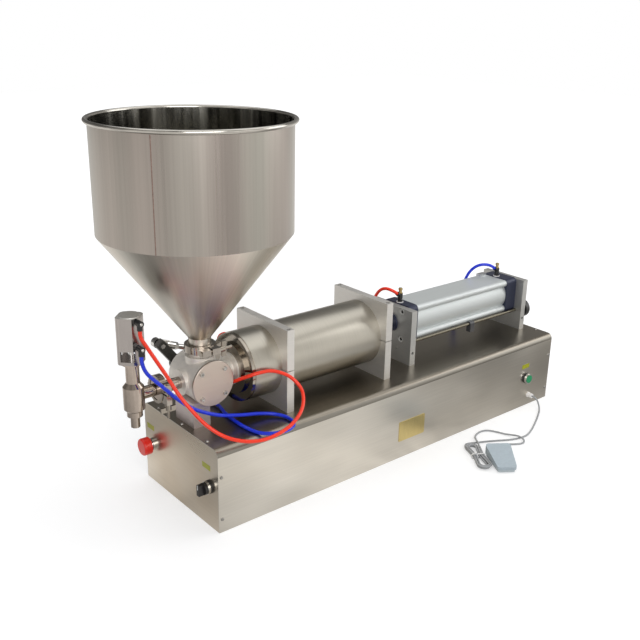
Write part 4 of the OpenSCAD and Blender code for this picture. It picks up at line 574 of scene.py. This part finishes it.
tree.links.new(path.outputs["Is Glossy Ray"], glossy.inputs["Fac"])
tree.links.new(room.outputs["Background"], glossy.inputs[1])
tree.links.new(dark.outputs["Background"], glossy.inputs[2])
seen = sums(tree, "MAXIMUM", path.outputs["Is Camera Ray"], path.outputs["Is Transmission Ray"])
tree.links.new(seen, choice.inputs["Fac"])
tree.links.new(glossy.outputs["Shader"], choice.inputs[1])
tree.links.new(white.outputs["Background"], choice.inputs[2])
tree.links.new(choice.outputs["Shader"], tree.nodes["World Output"].inputs["Surface"])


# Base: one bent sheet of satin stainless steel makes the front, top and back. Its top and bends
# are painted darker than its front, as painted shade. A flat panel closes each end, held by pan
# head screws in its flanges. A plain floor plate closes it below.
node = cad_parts


def dress(name, finish, soft_edge=0.0):
    """Gives a CAD node its finish, and rounds its sharp edges a little."""
    piece = node[name]
    piece.data.materials.clear()
    piece.data.materials.append(finish)
    for face in piece.data.polygons:
        face.material_index = 0
    if soft_edge:
        round_edges(piece, soft_edge, 2, 50)
    return piece


def face_finish(piece, finish, chosen):
    """Gives another finish to the faces of a CAD node that chosen(face) picks."""
    piece.data.materials.append(finish)
    for face in piece.data.polygons:
        if chosen(face):
            face.material_index = len(piece.data.materials) - 1


brushed_x, brushed_y = (6, 260, 260), (260, 6, 260)
cover_steel = surface(
    "cover_steel", (0.68, 0.65, 0.59), 1.0, 0.34, brushed_x, 0.035, 0.00002, 0.09,
    broad=(4, 6, 9), second=(0.58, 0.545, 0.48),
)
# The top and the bends: darker copies of the front's steel, as painted shade.
top_steel = surface(
    "top_steel", (0.31, 0.28, 0.235), 1.0, 0.32, brushed_x, 0.035, 0.00002, 0.06, broad=(3, 6, 9),
)
bend_steel = surface(
    "bend_steel", (0.25, 0.235, 0.205), 1.0, 0.34, brushed_x, 0.035, 0.00002, 0.06, broad=(3, 6, 9),
)
panel_steel = surface(
    "panel_steel", (0.66, 0.62, 0.55), 1.0, 0.3, brushed_y, 0.035, 0.00002, 0.1,
    broad=(6, 6, 6), second=(0.58, 0.50, 0.40),
)
plate_steel = surface("plate_steel", (0.45, 0.45, 0.44), 0.6, 0.5, (30, 30, 30), 0.06, 0.00004)
screw_satin = surface("screw_satin", (0.36, 0.35, 0.33), 1.0, 0.42, (400, 400, 60), 0.06, 0.00002)
bend_from, top_from = 0.02, 0.6
cover = dress("base_cover", cover_steel)
face_finish(cover, bend_steel, lambda face: bend_from < face.normal.z <= top_from)
face_finish(cover, top_steel, lambda face: face.normal.z > top_from)
dress("end_panel_left", panel_steel)
dress("end_panel_right", panel_steel)
dress("base_plate", plate_steel)
dress("cover_screws", screw_satin)


# Rating plate: a thin sheet of satin brass on the base's front, held by a rivet in each corner.
# It is plain.
plate_brass = surface(
    "plate_brass", (0.62, 0.50, 0.22), 1.0, 0.3, (300, 40, 40), 0.06, 0.00002, 0.05,
)
dress("nameplate", plate_brass)


# Labels: three small yellow-green stickers, one over each switch, cut from thin gloss foil. They
# are plain.
label_w, label_h, label_t = 30 * MM, 12 * MM, 0.25 * MM
label_green = surface(
    "label_green", (0.37, 0.38, 0.0), 0.0, 0.35, (50, 50, 50), 0.05, 0.0, 0.04, 0.3,
)
for name, place, across in (
    ("label_stop", (-0.550, 0.125, 0.136), (0, 1, 0)),
    ("label_selector", (-0.550, -0.106, 0.139), (0, 1, 0)),
    ("label_start", (0.444, -0.150, 0.120), (1, 0, 0)),
):
    half = Vector(across) * label_w / 2 + Vector((0, 0, label_h / 2))
    out = Vector((-1, 0, 0)) if across[1] else Vector((0, -1, 0))
    corners = Vector(place) - half, Vector(place) + half + out * label_t
    low = Vector(min(a, b) for a, b in zip(*corners))
    high = Vector(max(a, b) for a, b in zip(*corners))
    label = solid(name, lambda shape: block(shape, low, high), label_green)
    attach(label, "base")


# Cable gland and air inlet: a white nylon gland on the front, and a brass hose tail on the right
# end. The manifold inside carries three valve coils and a regulator.
gland_nylon = surface("gland_nylon", (0.92, 0.90, 0.88), 0.0, 0.35, (200, 200, 200), 0.03, 0.00002)
inlet_brass = surface("inlet_brass", (0.68, 0.52, 0.24), 1.0, 0.3, (200, 200, 200), 0.06, 0.00002)
block_aluminium = surface(
    "block_aluminium", (0.55, 0.56, 0.57), 1.0, 0.42, (200, 200, 200), 0.05, 0.00003,
)
dress("cable_gland", gland_nylon, 0.0004)
dress("air_inlet", inlet_brass, 0.0003)
dress("air_valve_block", block_aluminium)


# Stop button: a red mushroom of glossy plastic on a chrome neck, with its nut and contact block
# behind the panel.
collar_chrome = surface(
    "collar_chrome", (0.70, 0.70, 0.69), 1.0, 0.12, (300, 300, 300), 0.04, 0.00001,
)
stop_red = surface(
    "stop_red", (0.86, 0.02, 0.01), 0.0, 0.28, (80, 80, 80), 0.03, 0.00001, 0.02, 0.4,
)
dress("stop_collar", collar_chrome, 0.0003)
dress("stop_head", stop_red)


# Selector: a black moulded grip in a chrome bezel ring with a black collar behind it. A short
# white line on the grip's face shows where it points.
knob_black = surface("knob_black", (0.018, 0.016, 0.016), 0.0, 0.32, (200, 200, 200), 0.08, 0.00002)
collar_black = surface(
    "collar_black", (0.015, 0.015, 0.015), 0.0, 0.4, (200, 200, 200), 0.08, 0.00002,
)
pointer_white = surface(
    "pointer_white", (0.85, 0.85, 0.84), 0.0, 0.4, (300, 300, 300), 0.03, 0.00001,
)
selector_collar_x = -0.5552, -0.5505
selector = dress("selector_collar", collar_chrome, 0.0003)
face_finish(
    selector, collar_black,
    lambda face: selector_collar_x[0] < face.center.x < selector_collar_x[1],
)
dress("selector_knob", knob_black, 0.0006)


pointer_low, pointer_high, pointer_chamfer = (-579.5, -117.8, 97.5), (-578.8, -116.2, 108.5), 0.3


def draw_pointer(shape):
    bar = block(shape, Vector(pointer_low) * MM, Vector(pointer_high) * MM)
    side = bar[0].link_faces[0].edges
    bmesh.ops.bevel(shape, geom=side, offset=pointer_chamfer * MM, segments=1, affect="EDGES")


pointer = solid("selector_pointer", draw_pointer, pointer_white)
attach(pointer, "selector")


# Start button: a glossy green lens in a chrome bezel, with a black collar between the bezel and
# the base's front.
start_green = surface(
    "start_green", (0.0, 0.30, 0.11), 0.0, 0.25, (80, 80, 80), 0.04, 0.00001, 0.0, 0.5,
)
start_collar_y = -0.1552, -0.1505
start = dress("start_collar", collar_chrome, 0.0003)
face_finish(
    start, collar_black,
    lambda face: start_collar_y[0] < face.center.y < start_collar_y[1],
)
dress("start_cap", start_green, 0.0004)


# Foot pedal: a blue-grey treadle over a tray painted paler, as painted light on its shaded sides,
# both moulded in plastic with a fine grained skin. The cable enters the tray's end.
# The tray's paler grey is painted light over its shade.
pedal_grey = surface("pedal_grey", (0.56, 0.62, 0.64), 0.0, 0.5, (150, 150, 150), 0.05, 0.00005)
treadle_grey = surface(
    "treadle_grey", (0.43, 0.50, 0.545), 0.0, 0.45, (150, 150, 150), 0.04, 0.00005,
)
dress("pedal_base", pedal_grey)
dress("pedal_treadle", treadle_grey, 0.0012)


# Clamp plates: two milled aluminium plates, each split at the cylinder's middle, with two long
# dark socket screws through the upper half. The screws in the air cylinder's front plate are
# bright zinc on the side that faces the clamps.
clamp_aluminium = surface(
    "clamp_aluminium", (0.72, 0.70, 0.665), 0.75, 0.45, (40, 40, 400), 0.03, 0.00002, 0.04,
)
screw_dark = surface("screw_dark", (0.10, 0.10, 0.10), 0.9, 0.35, (200, 200, 200), 0.08, 0.00002)
for name in ("front_clamp_base", "front_clamp_cap", "rear_clamp_base", "rear_clamp_cap"):
    dress(name, clamp_aluminium, 0.0007)
screw_zinc = surface("screw_zinc", (0.85, 0.85, 0.83), 0.7, 0.35, (200, 200, 200), 0.05, 0.00002)
zinc_from_x, zinc_facing = 0.03, -0.5
screws = dress("plate_screws", screw_dark, 0.0003)
face_finish(
    screws, screw_zinc,
    lambda face: face.center.x > zinc_from_x and face.normal.x < zinc_facing,
)


# Filling cylinder: a turned and brushed stainless tube with a polished front cover, its white
# plastic piston and the chrome rod that shows between the plates.
tube_steel = surface(
    "tube_steel", (0.47, 0.445, 0.39), 1.0, 0.3, (700, 14, 14), 0.045, 0.00002, 0.03,
)
cover_polished = surface(
    "cover_polished", (0.36, 0.325, 0.28), 1.0, 0.12, (120, 120, 120), 0.06, 0.00001, 0.15,
)
piston_plastic = surface(
    "piston_plastic", (0.7, 0.69, 0.65), 0.0, 0.45, (300, 60, 60), 0.04, 0.00003,
)
rod_chrome = surface("rod_chrome", (0.70, 0.70, 0.69), 1.0, 0.1, (500, 20, 20), 0.03, 0.00001)
dress("filling_cylinder", tube_steel)
dress("cylinder_cover", cover_polished, 0.0006)
dress("filling_piston", piston_plastic)
dress("piston_rod", rod_chrome)


# Air cylinder: an anodised barrel with four tie lobes between navy end caps, on two thick
# aluminium plates. Its piston runs inside.
air_plate_aluminium = surface(
    "air_plate_aluminium", (0.56, 0.56, 0.54), 0.8, 0.45, (40, 40, 400), 0.03, 0.00002, 0.03,
)
barrel_aluminium = surface(
    "barrel_aluminium", (0.63, 0.66, 0.655), 0.45, 0.46, (12, 300, 300), 0.02, 0.00002,
)
cap_navy = surface("cap_navy", (0.022, 0.028, 0.06), 0.2, 0.38, (150, 150, 150), 0.08, 0.00003)
piston_aluminium = surface(
    "piston_aluminium", (0.5, 0.5, 0.5), 1.0, 0.35, (300, 60, 60), 0.05, 0.00002,
)
dress("air_plate_front", air_plate_aluminium, 0.0007)
dress("air_plate_rear", air_plate_aluminium, 0.0007)
dress("air_barrel", barrel_aluminium)
dress("air_cap_front", cap_navy, 0.0008)
dress("air_cap_rear", cap_navy, 0.0008)
dress("air_piston", piston_aluminium)


# Air fittings: black push-in elbows, flow controls and bulkheads, and the reed sensor. Each flow
# control has a brass needle with a hexagon and a knurled knob, and stands on a white washer. Each
# elbow of the lifting cylinder has a steel screw head.
fitting_black = surface(
    "fitting_black", (0.012, 0.012, 0.013), 0.0, 0.3, (300, 300, 300), 0.08, 0.00002,
)
needle_brass = surface("needle_brass", (0.50, 0.38, 0.17), 1.0, 0.25, (400, 400, 60), 0.1, 0.00003)
fitting_steel = surface(
    "fitting_steel", (0.62, 0.61, 0.59), 1.0, 0.2, (300, 300, 300), 0.06, 0.00001,
)
sensor_metal = surface("sensor_metal", (0.6, 0.61, 0.62), 0.9, 0.35, (200, 200, 200), 0.05, 0.00002)
needle_low, needle_r, port_xs = 0.3575, 0.0045, (0.0975, 0.473)
hexagon = (5.2, 0.1), (5.6, 0.6), (5.6, 3), (5, 3.5)
knob = (4.6, 9), (5.2, 9.5), (5.2, 13.4), (4.4, 14.2)
washer, washer_z = ((7.4, 0), (8.6, 0), (8.6, 2), (7.4, 2)), 0.3346
elbow_screw = (3.2, 0), (3.2, 1.6), (2.4, 2.2)
elbow_x, elbow_y, elbow_zs = -0.649, -0.0483, (0.4535, 0.4005)
fittings = dress("air_fittings", fitting_black, 0.0003)
face_finish(
    fittings, needle_brass,
    lambda face: face.center.z > needle_low + 0.0005
    and any(math.hypot(face.center.x - x, face.center.y) < needle_r for x in port_xs),
)


def turned(shape, at, way, profile, sides=24, ring=False):
    """A turned shape: radii and distances along its axis, in millimetres. A ring has a hole."""
    turn = Vector((0, 0, 1)).rotation_difference(Vector(way)).to_matrix()
    hoops = [
        [shape.verts.new(Vector(at) + turn @ Vector((
            radius * math.cos(math.tau * i / sides), radius * math.sin(math.tau * i / sides), along,
        )) * MM) for i in range(sides)]
        for radius, along in profile
    ]
    for low, high in zip(hoops, hoops[1:] + hoops[:1] if ring else hoops[1:]):
        for i in range(sides):
            shape.faces.new((low[i - 1], low[i], high[i], high[i - 1]))
    if not ring:
        shape.faces.new(hoops[0])
        shape.faces.new(hoops[-1])


def draw_needles(shape):
    for x in port_xs:
        turned(shape, (x, 0, needle_low), (0, 0, 1), hexagon, 6)
        turned(shape, (x, 0, needle_low), (0, 0, 1), knob, 14)


def draw_washers(shape):
    for x in port_xs:
        turned(shape, (x, 0, washer_z), (0, 0, 1), washer, 32, True)


def draw_elbow_screws(shape):
    for z in elbow_zs:
        turned(shape, (elbow_x, elbow_y, z), (0, -1, 0), elbow_screw)


for name, build, finish in (
    ("flow_needles", draw_needles, needle_brass), ("flow_washers", draw_washers, gland_nylon),
    ("elbow_screws", draw_elbow_screws, fitting_steel),
):
    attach(solid(name, build, finish), "base")
dress("reed_sensor", sensor_metal, 0.0004)


# Stroke adjuster: a black hand wheel on a long screw with a fine thread coloured dark, and a
# black slider on the screw that carries the sensor's flag.
wheel_black = surface(
    "wheel_black", (0.018, 0.018, 0.018), 0.0, 0.35, (200, 200, 200), 0.08, 0.00003,
)
slider_black = surface(
    "slider_black", (0.06, 0.06, 0.065), 0.0, 0.3, (200, 200, 200), 0.08, 0.00003,
)
thread_steel = surface("thread_steel", (0.17, 0.155, 0.12), 1.0, 0.25, (1400, 20, 20), 0.35, 0.0002)
dress("stroke_screw", thread_steel)
dress("stroke_handwheel", wheel_black, 0.0006)
dress("sensor_slider", slider_black, 0.0004)


# Rotary valve: a satin stainless drum with a flat front disc and four small screws, on a block.
# Its rotor turns a quarter turn.
valve_steel = surface(
    "valve_steel", (0.88, 0.84, 0.78), 0.55, 0.46, (90, 90, 90), 0.04, 0.00002, 0.04,
)
disc_steel = surface("disc_steel", (0.62, 0.54, 0.475), 1.0, 0.36, (9, 90, 90), 0.03, 0.00002, 0.12)
rotor_steel = surface("rotor_steel", (0.56, 0.55, 0.53), 1.0, 0.2, (60, 300, 60), 0.04, 0.00002)
block_steel = surface("block_steel", (0.72, 0.64, 0.63), 0.9, 0.42, (60, 60, 300), 0.04, 0.00002)
screw_steel = surface("screw_steel", (0.44, 0.43, 0.41), 1.0, 0.22, (400, 400, 60), 0.06, 0.00002)
dress("valve_body", valve_steel, 0.0005)
dress("valve_front_cover", disc_steel, 0.0004)
dress("valve_cover_screws", screw_steel, 0.0003)
dress("valve_support", block_steel, 0.0006)
dress("valve_rotor", rotor_steel)


# Turning drive: a blackened crank on the rotor's shaft with a bright end and spacer, and a small
# round air cylinder that swings on a bracket behind the filling cylinder.
crank_black = surface("crank_black", (0.07, 0.07, 0.065), 0.7, 0.38, (200, 200, 200), 0.1, 0.00004)
turner_aluminium = surface(
    "turner_aluminium", (0.56, 0.57, 0.58), 1.0, 0.3, (300, 60, 60), 0.05, 0.00002,
)
bracket_steel = surface(
    "bracket_steel", (0.52, 0.52, 0.51), 1.0, 0.35, (60, 60, 300), 0.05, 0.00002,
)
crank_turn, crank_facing, crank_end_z, spacer_y = math.radians(128), 0.8, 0.34, 0.0895
crank_way = Vector((math.cos(crank_turn), 0, math.sin(crank_turn)))
crank = dress("valve_crank", crank_black, 0.0008)
face_finish(
    crank, fitting_steel,
    lambda face: face.normal.dot(crank_way) > crank_facing and face.center.z > crank_end_z,
)
face_finish(crank, rod_chrome, lambda face: face.center.y < spacer_y)
dress("turning_cylinder", turner_aluminium, 0.0004)
dress("turning_rod", rod_chrome, 0.0004)
dress("turning_bracket", bracket_steel, 0.0004)


# Hopper: a cone and a straight part, rolled from stainless sheet and welded, brushed up and down
# outside and smoother inside, with a polished rolled rim. The straight part is painted darker than
# the cone, as painted shade. One upright seam shows.
hopper_x, hopper_wall_r, hopper_joint, hopper_rim = -0.491, 0.197, 0.606, 0.822
# The straight part: a darker copy of the cone's steel, as painted shade.
hopper_steel = surface(
    "hopper_steel", (0.385, 0.34, 0.31), 1.0, 0.3, (42, 42, 3), 0.05, 0.00001, 0.16,
    broad=(2.4, 2.4, 0.25), second=(0.40, 0.39, 0.35), upright_at=(hopper_x, 0),
)
cone_steel = surface(
    "cone_steel", (0.68, 0.61, 0.54), 1.0, 0.32, (42, 42, 3), 0.05, 0.00001, 0.1,
    broad=(3, 3, 0.5), second=(0.64, 0.62, 0.56), upright_at=(hopper_x, 0),
)
# Inside: painted reflections, pale and dark upright streaks on the steel.
inside_steel = surface(
    "inside_steel", (0.42, 0.41, 0.375), 1.0, 0.18, (7, 7, 0.4), 0.55, 0.0, 0.3,
    upright_at=(hopper_x, 0),
)
rim_steel = surface("rim_steel", (0.52, 0.50, 0.46), 1.0, 0.16, (90, 90, 90), 0.04, 0.00001)
weld_steel = surface("weld_steel", (0.27, 0.19, 0.165), 1.0, 0.42, (300, 300, 500), 0.2, 0.0001)
hopper_middle = Vector((hopper_x, 0, 0))
hopper = dress("hopper", hopper_steel)
face_finish(hopper, cone_steel, lambda face: face.center.z < hopper_joint)
face_finish(
    hopper, inside_steel,
    lambda face: face.normal.dot((face.center - hopper_middle) * Vector((1, 1, 0))) < 0,
)
face_finish(hopper, rim_steel, lambda face: face.center.z > hopper_rim)
weld_r, weld_d, weld_turn = hopper_wall_r - 0.0004, 0.0024, math.radians(217)
weld_rings, weld_step, weld_waver, waver_turn = 72, 0.003, 0.0001, 1.9
weld_way = Vector((math.cos(weld_turn), math.sin(weld_turn), 0))
weld_line = [
    hopper_middle + weld_way * (weld_r + weld_waver * math.sin(waver_turn * ring))
    + Vector((0, 0, hopper_joint + ring * weld_step))
    for ring in range(weld_rings)
]
weld = tube("hopper_weld", weld_line, weld_d, weld_steel)
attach(weld, "base")


# Ferrule clamps: two polished two-piece rings, one under the hopper and one at the outlet, each
# drawn tight by a wing nut on a swing bolt.
ring_steel = surface(
    "ring_steel", (0.42, 0.38, 0.34), 1.0, 0.11, (150, 150, 150), 0.08, 0.00001, 0.08,
)
dress("hopper_clamp", ring_steel, 0.0005)
dress("outlet_clamp", ring_steel, 0.0005)
dress("clamp_wing_nuts", cover_polished, 0.0006)


# Outlet pipe and shut-off nozzle: polished stainless steel. The pipe runs from the valve to the
# nozzle's body, which narrows to its tip.
pipe_steel = surface(
    "pipe_steel", (0.50, 0.43, 0.375), 1.0, 0.13, (100, 100, 100), 0.05, 0.00001, 0.06,
)
dress("outlet_pipe", pipe_steel, 0.0004)
dress("nozzle_body", pipe_steel, 0.0005)


# Lifting cylinder: a rounded square housing with a rougher top, painted lighter as painted light,
# over a windowed cage. A chrome stem shows in the windows.
lifter_steel = surface(
    "lifter_steel", (0.42, 0.39, 0.375), 1.0, 0.22, (100, 100, 20), 0.05, 0.00001, 0.05,
)
# The top face is painted lighter than the housing: painted light.
lifter_end = surface("lifter_end", (0.62, 0.61, 0.58), 0.7, 0.5, (200, 200, 200), 0.05, 0.00002)
lifter_top = 0.458
lifter = dress("nozzle_cylinder", lifter_steel, 0.0006)
face_finish(lifter, lifter_end, lambda face: face.center.z > lifter_top)
dress("nozzle_stem", rod_chrome)
